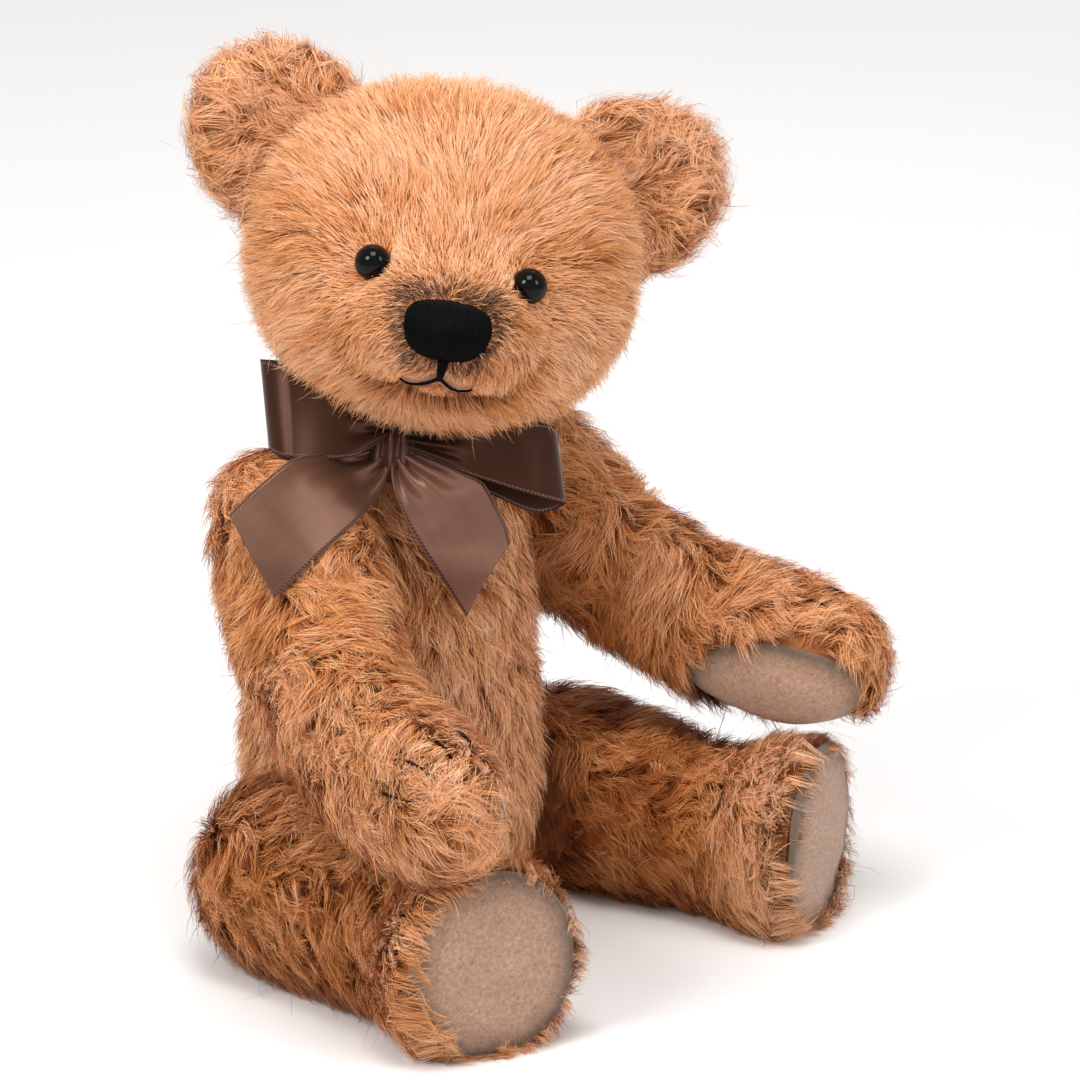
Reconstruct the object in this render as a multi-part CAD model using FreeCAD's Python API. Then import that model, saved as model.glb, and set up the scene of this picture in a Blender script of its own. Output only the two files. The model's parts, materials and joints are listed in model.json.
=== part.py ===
import FreeCAD, Part
import os
from math import sin, cos, pi, radians, sqrt
V = FreeCAD.Vector
os.makedirs("parts", exist_ok=True)

# ---------------------------------------------------------------- driving dimensions (mm, degrees)
SKIN_T = 3.5            # mohair cloth with its lying pile, as one firm layer
FILL_GAP = 0.3          # skin to filling
FELT_IN, FELT_T = 1.7, 1.6   # felt pads lie this far under the pile's envelope, and are this thick
JOINT_GAP = 0.4         # between a limb's flat and the torso's flat

NECK = V(0.0, -7.0, 156.0)
NECK_TILT = 8.0         # the neck pin leans forward
HEAD_C = V(0.5, -18.0, 200.5)
FACE_AZ, FACE_PITCH, FACE_ROLL = -43.0, 14.0, 10.0

SHOULDER = {1: V(30.0, -3.0, 124.0), -1: V(-30.0, -3.0, 124.0)}
SHOULDER_TILT, SHOULDER_BACK = 13.0, 12.0
ARM_DOWN = {1: 47.5, -1: 49.5}     # upper arm below the horizontal, left and right
HIP = {1: V(37.0, -10.0, 29.0), -1: V(-37.0, -10.0, 29.0)}
HIP_TILT, HIP_BACK = -7.0, 5.5
LEG_DOWN = {1: 0.0, -1: 0.0}

DISC_T, DISC_R = 2.4, {"neck": 14.0, "shoulder": 12.0, "hip": 15.0}
BOLT_R, RUN = 2.0, 0.05
WASHER_R, WASHER_T = 5.0, 1.0
NUT_AF, NUT_T = 7.0, 4.0
HEAD_AF, HEAD_T = 7.0, 3.0
EYE_R = 5.1
RIBBON_W, RIBBON_T = 25.0, 0.7

# tables: sections along each stuffed piece
TORSO = [  # z, half width, front, back, centre y
    (-6.0, 8.0, 8.0, 8.0, 3.0), (-4.5, 17.0, 16.0, 16.0, 3.0), (0.0, 24.5, 23.5, 23.0, 3.0), (6.0, 31.5, 30.5, 30.0, 3.0), (15.0, 36.5, 35.5, 34.5, 3.0),
    (32.0, 39.5, 39.5, 38.0, 3.0), (55.0, 40.0, 40.0, 39.0, 3.0), (80.0, 38.0, 38.0, 38.0, 2.0), (105.0, 34.5, 34.5, 36.0, 0.0),
    (128.0, 30.0, 30.0, 31.0, -3.0), (145.0, 25.5, 25.5, 25.5, -6.0), (155.0, 20.5, 20.5, 20.5, -7.0), (161.0, 14.0, 14.0, 14.0, -7.5), (164.0, 5.0, 5.0, 5.0, -8.0)]
HEAD = [   # y from the back to the nose, half width, top, bottom, about the head's centre
    (47.0, 5.0, 5.0, -5.0), (44.0, 20.0, 20.0, -19.0), (36.0, 36.0, 33.0, -32.0), (22.0, 47.0, 43.0, -42.5), (5.0, 53.0, 46.5, -47.0),
    (-12.0, 52.0, 43.0, -46.5), (-24.0, 46.5, 34.0, -44.5), (-32.0, 39.0, 22.0, -42.0), (-38.0, 31.5, 9.5, -40.5), (-46.0, 25.5, -1.5, -39.0),
    (-54.0, 22.0, -6.5, -37.0), (-60.0, 16.0, -10.5, -32.0), (-63.0, 4.0, -19.0, -24.0)]
ARM = [    # s along the arm, half up, half down, inner face w, outer face w
    (-24.0, 4.0, 4.0, 10.0, 18.0), (-21.5, 12.0, 12.0, 0.0, 26.0), (-11.0, 20.5, 20.5, -5.0, 33.0), (6.0, 23.0, 23.0, -6.0, 35.5),
    (30.0, 22.0, 22.0, -4.0, 36.5), (58.0, 19.5, 21.0, 1.5, 36.5), (84.0, 17.5, 23.0, 2.0, 37.0), (106.0, 16.5, 24.5, 2.0, 37.0),
    (122.0, 14.5, 21.0, 5.0, 35.0), (131.0, 8.5, 13.0, 12.0, 28.0), (133.0, 3.0, 3.5, 17.0, 23.0)]
ARM_BEND = [(-24.0, 0.0), (8.0, 0.0), (105.0, -44.0), (133.0, -46.0)]
LEG = [
    (-27.0, 5.0, 5.0, 12.0, 22.0), (-24.5, 14.0, 14.0, 1.0, 31.0), (-13.0, 24.0, 25.0, -6.0, 40.0), (4.0, 27.0, 28.0, -7.0, 43.0),
    (30.0, 23.0, 26.5, -4.0, 42.0), (54.0, 20.0, 25.5, 1.0, 41.5), (72.0, 21.0, 26.0, 1.0, 44.0), (83.0, 27.0, 28.0, -2.0, 49.0),
    (91.0, 29.6, 28.3, -2.7, 50.7), (98.0, 30.0, 28.5, -3.0, 51.0)]
LEG_TURN = [(-27.0, 0.0), (45.0, 0.0), (86.0, 15.0), (98.0, 16.5)]   # soles turned outwards
SOLE_S, SOLE_R, SOLE_TOP = 92.0, 110.0, 5.3    # station of the sole's seam, its doming radius and its rise over the seam

# ---------------------------------------------------------------- helpers
def table(xs, ys):
    n = len(xs)
    h = [xs[i + 1] - xs[i] for i in range(n - 1)]
    d = [(ys[i + 1] - ys[i]) / h[i] for i in range(n - 1)]
    m = [0.0] * n
    for i in range(1, n - 1):
        if d[i - 1] * d[i] > 0:
            w1, w2 = 2 * h[i] + h[i - 1], h[i] + 2 * h[i - 1]
            m[i] = (w1 + w2) / (w1 / d[i - 1] + w2 / d[i])
    if n > 2:
        for k, (h0, h1, d0, d1) in ((0, (h[0], h[1], d[0], d[1])), (-1, (h[-1], h[-2], d[-1], d[-2]))):
            v = ((2 * h0 + h1) * d0 - h0 * d1) / (h0 + h1)
            if v * d0 <= 0:
                v = 0.0
            elif d0 * d1 <= 0 and abs(v) > abs(3 * d0):
                v = 3 * d0
            m[k] = v
    else:
        m[0] = m[1] = d[0]

    def f(x):
        x = min(max(x, xs[0]), xs[-1])
        i = 0
        while i < n - 2 and x > xs[i + 1]:
            i += 1
        t = (x - xs[i]) / h[i]
        return ((1 + 2 * t) * (1 - t) ** 2 * ys[i] + t * (1 - t) ** 2 * h[i] * m[i]
                + t * t * (3 - 2 * t) * ys[i + 1] + t * t * (t - 1) * h[i] * m[i + 1])
    return f


def columns(rows):
    xs = [r[0] for r in rows]
    return xs, [table(xs, [r[i] for r in rows]) for i in range(1, len(rows[0]))]


def rotate(v, axis, deg):
    k = V(axis); k.normalize()
    t = radians(deg)
    return v * cos(t) + k.cross(v) * sin(t) + k * (k.dot(v) * (1 - cos(t)))


def ring(c, u, v, a, b, p=2.2, n=24, bend=0.0, bdir=None):
    pts = []
    for i in range(n):
        t = 2 * pi * i / n
        ct, st = cos(t), sin(t)
        x = a * abs(ct) ** (2 / p) * (1 if ct >= 0 else -1)
        y = b * abs(st) ** (2 / p) * (1 if st >= 0 else -1)
        q = c + u * x + v * y
        if bend:
            q = q + bdir * (bend * (x / a) ** 2)
        pts.append(q)
    return pts


def wire(pts):
    c = Part.BSplineCurve()
    c.interpolate(Points=pts, PeriodicFlag=True)
    return Part.Wire([c.toShape()])


def loft(rings):
    s = Part.makeLoft([wire(r) for r in rings], True, False)
    s = s.Solids[0] if s.Solids else Part.Solid(s.Shells[0])
    if s.Volume < 0:
        s.reverse()
    return s


def beyond(point, normal, size=600.0):
    """the half space on the normal's side of a plane, as a big box"""
    n = V(normal); n.normalize()
    b = Part.makeBox(size, size, size, V(-size / 2, -size / 2, 0))
    b.Placement = FreeCAD.Placement(V(point), FreeCAD.Rotation(V(0, 0, 1), n))
    return b


def cyl(point, axis, r, length):
    return Part.makeCylinder(r, length, V(point), V(axis))


def tube(point, axis, r0, r1, length):
    return cyl(point, axis, r1, length).cut(cyl(point - axis * 1.0, axis, r0, length + 2.0))


def prism(poly, depth):
    """closed polygon of points, pushed along a vector"""
    w = Part.makePolygon(poly + [poly[0]])
    return Part.Face(w).extrude(depth)


def cosine(a, b, n):
    return [a + (b - a) * (0.5 - 0.5 * cos(pi * k / n)) for k in range(n + 1)]


def one(shape):
    return sorted(shape.Solids, key=lambda q: -q.Volume)[0]


OUT = {}


def out(name, shape):
    OUT[name] = shape


# ---------------------------------------------------------------- stuffed envelopes, each at an inset depth
def shrink(lo, hi, d):
    """map of the inset piece's station to the full piece's station"""
    return lambda s: lo + (s - (lo + d)) * (hi - lo) / (hi - lo - 2 * d)


def torso_env(d=0.0, n=22):
    xs, (fa, ff, fb, fy) = columns(TORSO)
    lo, hi = xs[0], xs[-1]
    g = shrink(lo, hi, d)
    R = []
    for z in cosine(lo + d, hi - d, n):
        s = g(z)
        a, f, b, y = fa(s), ff(s), fb(s), fy(s)
        a, f, b = [max(q - d, 0.45 * q) for q in (a, f, b)]
        R.append(ring(V(0, y + (b - f) / 2, z), V(1, 0, 0), V(0, 1, 0), a, (f + b) / 2))
    return loft(R)


def head_axes():
    y = rotate(V(0, 1, 0), V(1, 0, 0), -FACE_PITCH)
    z = rotate(V(0, 0, 1), V(1, 0, 0), -FACE_PITCH)
    x = V(1, 0, 0)
    f = y * -1
    x, z = rotate(x, f, -FACE_ROLL), rotate(z, f, -FACE_ROLL)
    return [rotate(q, V(0, 0, 1), FACE_AZ) for q in (x, y, z)]


HX, HY, HZ = head_axes()


def hp(x, y, z):
    return HEAD_C + HX * x + HY * y + HZ * z


def head_env(d=0.0, n=26):
    rows = [(-r[0], r[1], r[2], r[3]) for r in HEAD]
    xs, (fa, ft, fb) = columns(rows)
    lo, hi = xs[0], xs[-1]
    g = shrink(lo, hi, d)
    R = []
    for s in cosine(lo + d, hi - d, n):
        q = g(s)
        a, t, b = fa(q), ft(q), fb(q)
        h = (t - b) / 2
        a2, h2 = max(a - d, 0.45 * a), max(h - d, 0.45 * h)
        R.append(ring(hp(0, -s, (t + b) / 2), HX, HZ, a2, h2))
    return loft(R)


def head_inside(x, y, z, d=0.0):
    rows = [(-r[0], r[1], r[2], r[3]) for r in HEAD]
    xs, (fa, ft, fb) = columns(rows)
    if not xs[0] < -y < xs[-1]:
        return False
    a, t, b = fa(-y), ft(-y), fb(-y)
    return (abs(x) / (a - d)) ** 2.2 + (abs(z - (t + b) / 2) / ((t - b) / 2 - d)) ** 2.2 <= 1.0


def face_y(x, z, d=0.0):
    y = -63.0
    while y < 40 and not head_inside(x, y, z, d):
        y += 0.1
    return y


def side_normal(tilt, back, side):
    t, b = radians(tilt), radians(back)
    return V(side * cos(t) * cos(b), cos(t) * sin(b), sin(t))


class Limb:
    def __init__(self, joint, n, down, rows, bend, turn):
        self.J, self.n, self.down = joint, V(n), down
        self.base = self.n.cross(V(0, 0, 1))
        self.base.normalize()
        if self.base.y > 0:
            self.base = self.base * -1
        self.upv = self.n.cross(self.base)
        if self.upv.z < 0:
            self.upv = self.upv * -1
        self.xs, self.f = columns(rows)
        self.fb = table([b[0] for b in bend], [b[1] for b in bend])
        self.ft = table([b[0] for b in turn], [b[1] for b in turn])

    def frame(self, s):
        """spine point, tangent, up and outward directions at station s"""
        m, x, z = 60, 0.0, 0.0
        for i in range(m):
            a = radians(self.down + self.fb(s * (i + .5) / m))
            x += cos(a) * s / m
            z -= sin(a) * s / m
        a = radians(self.down + self.fb(s))
        tang = self.base * cos(a) - self.upv * sin(a)
        up = self.base * sin(a) + self.upv * cos(a)
        ps = radians(self.ft(s))
        w = self.n * cos(ps) - tang * sin(ps)
        tw = tang * cos(ps) + self.n * sin(ps)
        return self.J + self.base * x + self.upv * z, tang, up, w, tw

    def env(self, d=0.0, n=24):
        lo, hi = self.xs[0], self.xs[-1]
        g = shrink(lo, hi, d)
        R = []
        for s in cosine(lo + d, hi - d, n):
            q = g(s)
            hu, hd, wi, wo = [f(q) for f in self.f]
            c, tang, up, w, tw = self.frame(s)
            h, b = (hu + hd) / 2, (wo - wi) / 2
            c = c + up * ((hu - hd) / 2) + self.n * ((wi + wo) / 2)
            R.append(ring(c, up, w, max(h - d, 0.45 * h), max(b - d, 0.45 * b), 2.15))
        return loft(R)

    def mid(self, s):
        hu, hd, wi, wo = [f(s) for f in self.f]
        c, tang, up, w, tw = self.frame(s)
        return c + up * ((hu - hd) / 2) + self.n * ((wi + wo) / 2), tang, up, w, tw, (hu + hd) / 2, (wo - wi) / 2


# ---------------------------------------------------------------- joint planes
neck_n = V(0, -sin(radians(NECK_TILT)), cos(radians(NECK_TILT)))
JOINTS = {"neck": (NECK, neck_n, "neck")}
for sd, nm in ((1, "left"), (-1, "right")):
    JOINTS["shoulder_" + nm] = (SHOULDER[sd], side_normal(SHOULDER_TILT, SHOULDER_BACK, sd), "shoulder")
    JOINTS["hip_" + nm] = (HIP[sd], side_normal(HIP_TILT, HIP_BACK, sd), "hip")

tO, tI, tF = torso_env(0), torso_env(SKIN_T), torso_env(SKIN_T + FILL_GAP)
tO = tO.cut(beyond(V(0, 0, 0), V(0, 0, -1)))
tI = tI.cut(beyond(V(0, 0, SKIN_T), V(0, 0, -1)))
tF = tF.cut(beyond(V(0, 0, SKIN_T + FILL_GAP), V(0, 0, -1)))
for p, n, kind in JOINTS.values():
    tO = tO.cut(beyond(p, n))
    tI = tI.cut(beyond(p - n * SKIN_T, n))
    tF = tF.cut(beyond(p - n * (SKIN_T + FILL_GAP), n))
t_skin = tO.cut(tI)
W_DISC = SKIN_T + 0.1
discs, washers = {"neck": [], "shoulder": [], "hip": []}, []
LIMB_OF = {"neck": "head", "shoulder_left": "arm_left", "shoulder_right": "arm_right", "hip_left": "leg_left", "hip_right": "leg_right"}
for key, (p, n, kind) in JOINTS.items():
    r = DISC_R[kind]
    # torso side, going inwards
    d0 = p - n * (W_DISC + DISC_T)
    discs[kind].append(tube(d0, n, BOLT_R + RUN, r, DISC_T))
    w0 = d0 - n * (0.1 + WASHER_T)
    washers.append(tube(w0, n, BOLT_R + RUN, WASHER_R, WASHER_T))
    u0 = w0 - n * (0.1 + NUT_T)
    t_skin = t_skin.cut(cyl(p - n * (SKIN_T + 2), n, BOLT_R + 0.4, SKIN_T + 4))
    # the disc's rim beds into the cloth where the body curves in behind it
    t_skin = t_skin.cut(cyl(d0 - n * 0.2, n, r + 0.2, DISC_T + 0.4))
    # cavity in the torso's filling
    tF = tF.cut(cyl(d0 - n * 0.3, n, r + 0.4, DISC_T + 4))
    tF = tF.cut(cyl(w0 - n * 0.3, n, WASHER_R + 0.4, WASHER_T + 2))
    tF = tF.cut(cyl(u0 - n * 2.0, n, NUT_AF / 2 * 1.1547 + 0.5, NUT_T + 4))
out("torso_skin", one(t_skin))
out("torso_filling", one(tF))
out("torso_neck_disc", discs["neck"][0])
out("torso_shoulder_discs", Part.makeCompound(discs["shoulder"]))
out("torso_hip_discs", Part.makeCompound(discs["hip"]))
out("torso_washers", Part.makeCompound(washers))


def hexagon(p, n, af, t):
    u = V(0, 0, 1) if abs(n.z) < 0.8 else V(1, 0, 0)
    u = n.cross(u); u.normalize()
    v = n.cross(u)
    r = af / 2 / cos(pi / 6)
    return prism([p + u * (r * cos(pi / 3 * i)) + v * (r * sin(pi / 3 * i)) for i in range(6)], n * t)


def hardware(key, name, filling, skin):
    """disc, washer, bolt and lock nut of one joint, on the moving side; cavities in its filling"""
    p, n, kind = JOINTS[key]
    r = DISC_R[kind]
    g = JOINT_GAP
    d0 = p + n * (g + W_DISC)
    out(name + "_disc", tube(d0, n, BOLT_R + RUN, r, DISC_T))
    w0 = d0 + n * (DISC_T + 0.1)
    out(name + "_washer", tube(w0, n, BOLT_R + RUN, WASHER_R, WASHER_T))
    b0 = w0 + n * (WASHER_T + 0.1)
    tip = p - n * (W_DISC + DISC_T + 0.1 + WASHER_T + 0.1 + NUT_T + 1.0)
    length = (b0 - tip).Length
    bolt = cyl(tip, n, BOLT_R, length + 1.0).fuse(hexagon(b0, n, HEAD_AF, HEAD_T))
    out(name + "_bolt", one(bolt))
    u0 = p - n * (W_DISC + DISC_T + 0.1 + WASHER_T + 0.1 + NUT_T)
    out(name + "_nut", one(hexagon(u0, n, NUT_AF, NUT_T).cut(cyl(u0 - n, n, BOLT_R + 0.02, NUT_T + 2))))
    filling = filling.cut(cyl(d0 - n * 3, n, r + 0.4, DISC_T + 3.3))
    filling = filling.cut(cyl(w0 - n, n, WASHER_R + 0.4, WASHER_T + 1.3))
    filling = filling.cut(cyl(b0 - n, n, HEAD_AF / 2 * 1.1547 + 0.4, HEAD_T + 1.4))
    skin = skin.cut(cyl(p - n * 2, n, BOLT_R + 0.4, SKIN_T + 6))
    if key == "neck":
        skin = skin.cut(cyl(d0 - n * 0.2, n, r + 0.2, DISC_T + 0.4))
    return filling, skin


# ---------------------------------------------------------------- head
hO, hI, hF, hM = head_env(0), head_env(SKIN_T), head_env(SKIN_T + FILL_GAP), head_env(1.6)
hO = hO.cut(beyond(NECK + neck_n * JOINT_GAP, neck_n * -1))
hI = hI.cut(beyond(NECK + neck_n * (JOINT_GAP + SKIN_T), neck_n * -1))
hF = hF.cut(beyond(NECK + neck_n * (JOINT_GAP + SKIN_T + FILL_GAP), neck_n * -1))
h_skin = hO.cut(hI)
# nose: a satin-stitched block on the muzzle's end
NZ = -19.5
nose_poly = [(-11.0, 8.3), (-5.0, 9.3), (5.0, 9.3), (11.0, 8.3), (12.9, 5.5), (12.6, 0.5), (10.5, -5.5), (6.5, -8.8), (0.0, -9.8),
             (-6.5, -8.8), (-10.5, -5.5), (-12.6, 0.5), (-12.9, 5.5)]
np_pts = [hp(x, -75.0, NZ + z) for x, z in nose_poly]
nw = wire(np_pts)
nose_pr = Part.Face(nw).extrude(HY * 40.0)
hP = head_env(-1.0)
nose = hP.common(nose_pr).cut(hM)
nose = one(nose.cut(beyond(hp(0, -44, 0), HY)))
h_skin = h_skin.cut(nose_pr.cut(hM).cut(beyond(hp(0, -44, 0), HY)))
out("nose", nose)


def thread(points, r):
    s = Part.makeSphere(r, points[0])
    for a, b in zip(points, points[1:]):
        s = s.fuse(cyl(a, (b - a), r, (b - a).Length)).fuse(Part.makeSphere(r, b))
    return s


def on_face(x, z, lift=0.0):
    return hp(x, face_y(x, z) - lift, z)


MR = 0.8
stem = [on_face(0.0, z, 0.0) for z in (-29.9, -31.6, -33.2)]
lip_l = [on_face(x, z, 0.0) for x, z in ((0.0, -33.2), (3.4, -35.4), (6.6, -36.0), (9.6, -35.2))]
lip_r = [on_face(x, z, 0.0) for x, z in ((0.0, -33.2), (-3.4, -35.4), (-6.6, -36.0), (-9.6, -35.2))]
mouth = thread(stem, MR).fuse(thread(lip_l, MR)).fuse(thread(lip_r, MR))
mouth = one(mouth.cut(nose_pr).cut(hO))
out("mouth_stitches", mouth)
# eyes with wire shanks
EYE = (22.0, -4.5)
shanks = []
for sd, nm in ((1, "left"), (-1, "right")):
    y = face_y(EYE[0], EYE[1])
    c = hp(sd * EYE[0], y + 1.6, EYE[1])
    axis = HY * 1.0 + HX * (-0.45 * sd) ; axis.normalize()
    eye = Part.makeSphere(EYE_R, c)
    out("eye_" + nm, eye)
    sh = cyl(c + axis * (EYE_R - 0.6), axis, 0.9, 11.0).cut(Part.makeSphere(EYE_R + 0.02, c))
    shanks.append(one(sh))
    h_skin = h_skin.cut(Part.makeSphere(EYE_R + 0.05, c)).cut(cyl(c, axis, 1.0, 18.0))
    hF = hF.cut(Part.makeSphere(EYE_R + 0.3, c)).cut(cyl(c, axis, 1.2, 17.5))
out("eye_shanks", Part.makeCompound(shanks))
# ears: cupped half rounds sewn along the head's upper corners
for sd, nm in ((1, "left"), (-1, "right")):
    lean = radians(52.0)       # from the head's vertical, outwards
    e_up = HX * (sd * sin(lean)) + HZ * cos(lean)
    e_w = HX * (sd * cos(lean)) - HZ * sin(lean)
    # turned a little so the cup faces forward
    e_n = HY * -1
    base = hp(sd * 45.0, 8.0, 23.0)
    rows = [(-10.0, 21.0, 5.5), (0.0, 22.5, 5.3), (9.0, 22.5, 5.0), (17.0, 19.5, 4.6), (23.0, 14.5, 4.0), (26.5, 8.0, 3.2), (28.0, 2.5, 1.5)]
    xs, (fw, ft_) = columns(rows)
    R = []
    for s in cosine(xs[0], xs[-1], 14)[0:]:
        a, t = fw(s), ft_(s)
        cup = 5.5 * (a / 22.5) ** 2
        back = 0.06 * s
        R.append(ring(base + e_up * s + e_n * (-3.0 - back + 0.004 * s * s), e_w, e_n, a, t, 2.3, 24, cup, e_n))
    ear = loft(R)
    ear = one(ear.cut(hO))
    out("ear_" + nm, ear)
hF, h_skin = hardware("neck", "head", hF, h_skin)
out("head_skin", one(h_skin))
out("head_filling", one(hF))

# ---------------------------------------------------------------- arms and legs
def stitch(c, d, length, r):
    a, b = c - d * (length / 2), c + d * (length / 2)
    return thread([a, b], r)


def on_limb(L, s, ang):
    """the point of a limb's outline at that station and angle"""
    c, tg, up, w, tw, h, b = L.mid(s)
    return c + up * (h * abs(sin(ang)) ** (2 / 2.15)) + w * (b * abs(cos(ang)) ** (2 / 2.15) * (1 if cos(ang) > 0 else -1))


def claw(L, s, ang, length, r):
    """a half round stitch that lies along the limb just over its outline"""
    a, q, b = [on_limb(L, s + k * length / 2, ang) for k in (-1, 0, 1)]
    d = b - a; d.normalize()
    m = d.cross(on_limb(L, s, ang + 0.05) - on_limb(L, s, ang - 0.05)); m.normalize()
    if m.dot(q - L.mid(s)[0]) < 0:
        m = m * -1
    return one(stitch(q + m * 0.15, d, length, r).cut(beyond(q + m * 0.05, m * -1)))


for sd, nm in ((1, "left"), (-1, "right")):
    # arm and leg: the right ones are the left ones' mirror images, and the right arm is turned a little lower about its pin
    if sd < 0:
        pr, nr, kind = JOINTS["shoulder_right"]
        for q in ("paw_pad_%s", "arm_%s_claws", "arm_%s_disc", "arm_%s_washer", "arm_%s_bolt", "arm_%s_nut", "arm_%s_skin", "arm_%s_filling"):
            piece = OUT[q % "left"].mirror(V(0, 0, 0), V(1, 0, 0))
            piece.rotate(pr, nr, ARM_DOWN[1] - ARM_DOWN[-1])
            out(q % "right", piece)
        for q in ("sole_pad_%s", "leg_%s_claws", "leg_%s_disc", "leg_%s_washer", "leg_%s_bolt", "leg_%s_nut", "leg_%s_skin", "leg_%s_filling"):
            out(q % "right", OUT[q % "left"].mirror(V(0, 0, 0), V(1, 0, 0)))
        continue
    key = "shoulder_" + nm
    p, n, kind = JOINTS[key]
    L = Limb(p, n, ARM_DOWN[sd], ARM, ARM_BEND, [(-24.0, 0.0), (133.0, 0.0)])
    O, I, F, M, MI = L.env(0), L.env(SKIN_T), L.env(SKIN_T + FILL_GAP), L.env(FELT_IN), L.env(FELT_IN + FELT_T)
    O = O.cut(beyond(p + n * JOINT_GAP, n * -1))
    I = I.cut(beyond(p + n * (JOINT_GAP + SKIN_T), n * -1))
    F = F.cut(beyond(p + n * (JOINT_GAP + SKIN_T + FILL_GAP), n * -1))
    c, tang, up, w, tw, h, b = L.mid(102.0)
    # the palm faces inwards and down, a little towards the tip
    m = n * -0.93 - up * 0.37 + tang * 0.20
    m.normalize()
    lon = tang - m * tang.dot(m); lon.normalize()
    lat = m.cross(lon)

    def oval(a, bb):
        o = c - m * 2.0
        return Part.Wire([Part.Ellipse(o + lon * a, o + lat * bb, o).toShape()])
    cut_pr = Part.Face(oval(31.5, 17.0)).extrude(m * 60)
    pad_pr = Part.Face(oval(31.35, 16.85)).extrude(m * 60)
    skin = O.cut(I).cut(cut_pr)
    pad = M.cut(MI).common(pad_pr)
    out("paw_pad_" + nm, one(pad))
    # claw stitches run from the tip back over the top of the paw
    claws = []
    for k, lt in enumerate((-9.0, -3.0, 3.0, 9.0)):
        s = 117.0 - 0.10 * lt * lt / 3
        claws.append(claw(L, s, radians(52.0 + lt * 5.2), 11.0, 0.75))
    out("arm_%s_claws" % nm, Part.makeCompound(claws))
    F, skin = hardware(key, "arm_" + nm, F, skin)
    out("arm_%s_skin" % nm, one(skin))
    out("arm_%s_filling" % nm, one(F))
    key = "hip_" + nm
    p, n, kind = JOINTS[key]
    L = Limb(p, n, LEG_DOWN[sd], LEG, [(-27.0, 0.0), (98.0, 0.0)], LEG_TURN)
    O, I, F = L.env(0), L.env(SKIN_T), L.env(SKIN_T + FILL_GAP)
    ground = beyond(V(0, 0, 0), V(0, 0, -1))
    O = O.cut(beyond(p + n * JOINT_GAP, n * -1)).cut(ground)
    I = I.cut(beyond(p + n * (JOINT_GAP + SKIN_T), n * -1))
    F = F.cut(beyond(p + n * (JOINT_GAP + SKIN_T + FILL_GAP), n * -1))
    c, tang, up, w, tw, h, b = L.mid(SOLE_S)
    skin = O.cut(I).cut(beyond(c, tw))

    def dome(inset, depth):
        """what lies over the sole's seam, under the domed surface at that depth"""
        edge = Part.Face(wire(ring(c - tw * 2.0, up, w, h - inset, b - inset, 2.15))).extrude(tw * 14.0)
        return edge.common(Part.makeSphere(SOLE_R - depth, c + tw * (SOLE_TOP - SOLE_R)))
    sole = dome(FELT_IN, 0.0).cut(Part.makeSphere(SOLE_R - FELT_T, c + tw * (SOLE_TOP - SOLE_R))).common(beyond(c + tw * 0.15, tw)).cut(ground)
    out("sole_pad_" + nm, one(sole))
    F = F.cut(beyond(c, tw)).fuse(dome(SKIN_T + FILL_GAP + 3.0, FELT_T + FILL_GAP).common(beyond(c - tw * 1.0, tw)))
    claws = []
    for lt in (-13.5, -4.5, 4.5, 13.5):
        claws.append(claw(L, 83.5, radians(52.0 + lt * 2.4), 10.0, 0.75))
    out("leg_%s_claws" % nm, Part.makeCompound(claws))
    F, skin = hardware(key, "leg_" + nm, F, skin)
    out("leg_%s_skin" % nm, one(skin))
    out("leg_%s_filling" % nm, one(F))

# ---------------------------------------------------------------- ribbon
band_lo, band_hi = V(0, -7.0, 156.0) - neck_n * 10.5, V(0, -7.0, 156.0) - neck_n * 4.0


bO, bI = torso_env(-2.0), torso_env(-0.35)
band = bO.cut(bI).common(beyond(band_lo, neck_n)).cut(beyond(band_hi, neck_n))

az = radians(-48.0)
RR = V(cos(az), sin(az), 0)                 # to the viewer's right when the bow is seen from the front
KF = V(sin(az), -cos(az), 0)                # the bow faces this way
ZZ = V(0, 0, 1)
K = V(0, -7, 0) + KF * 28.6 - RR * 6.0 + ZZ * 149.5
# knot: a soft pillow across the bow
knot_r = []
for s in cosine(-7.5, 4.6, 10):
    q = sqrt(max(1 - ((s + 1.45) / 6.5) ** 2, 0.02))
    knot_r.append(ring(K + ZZ * s, RR, KF, 6.0 * (0.75 + 0.25 * q), 4.2 * q, 2.4, 16))
knot = loft(knot_r)
band = band.cut(knot.copy())
bb = sorted(band.Solids, key=lambda q: -q.Volume)
out("ribbon_collar", bb[0])


def plane_frame(roll):
    """r along the bow, v across the ribbon"""
    r = RR * cos(radians(roll)) + ZZ * sin(radians(roll))
    v = ZZ * cos(radians(roll)) - RR * sin(radians(roll))
    return r, v


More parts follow.
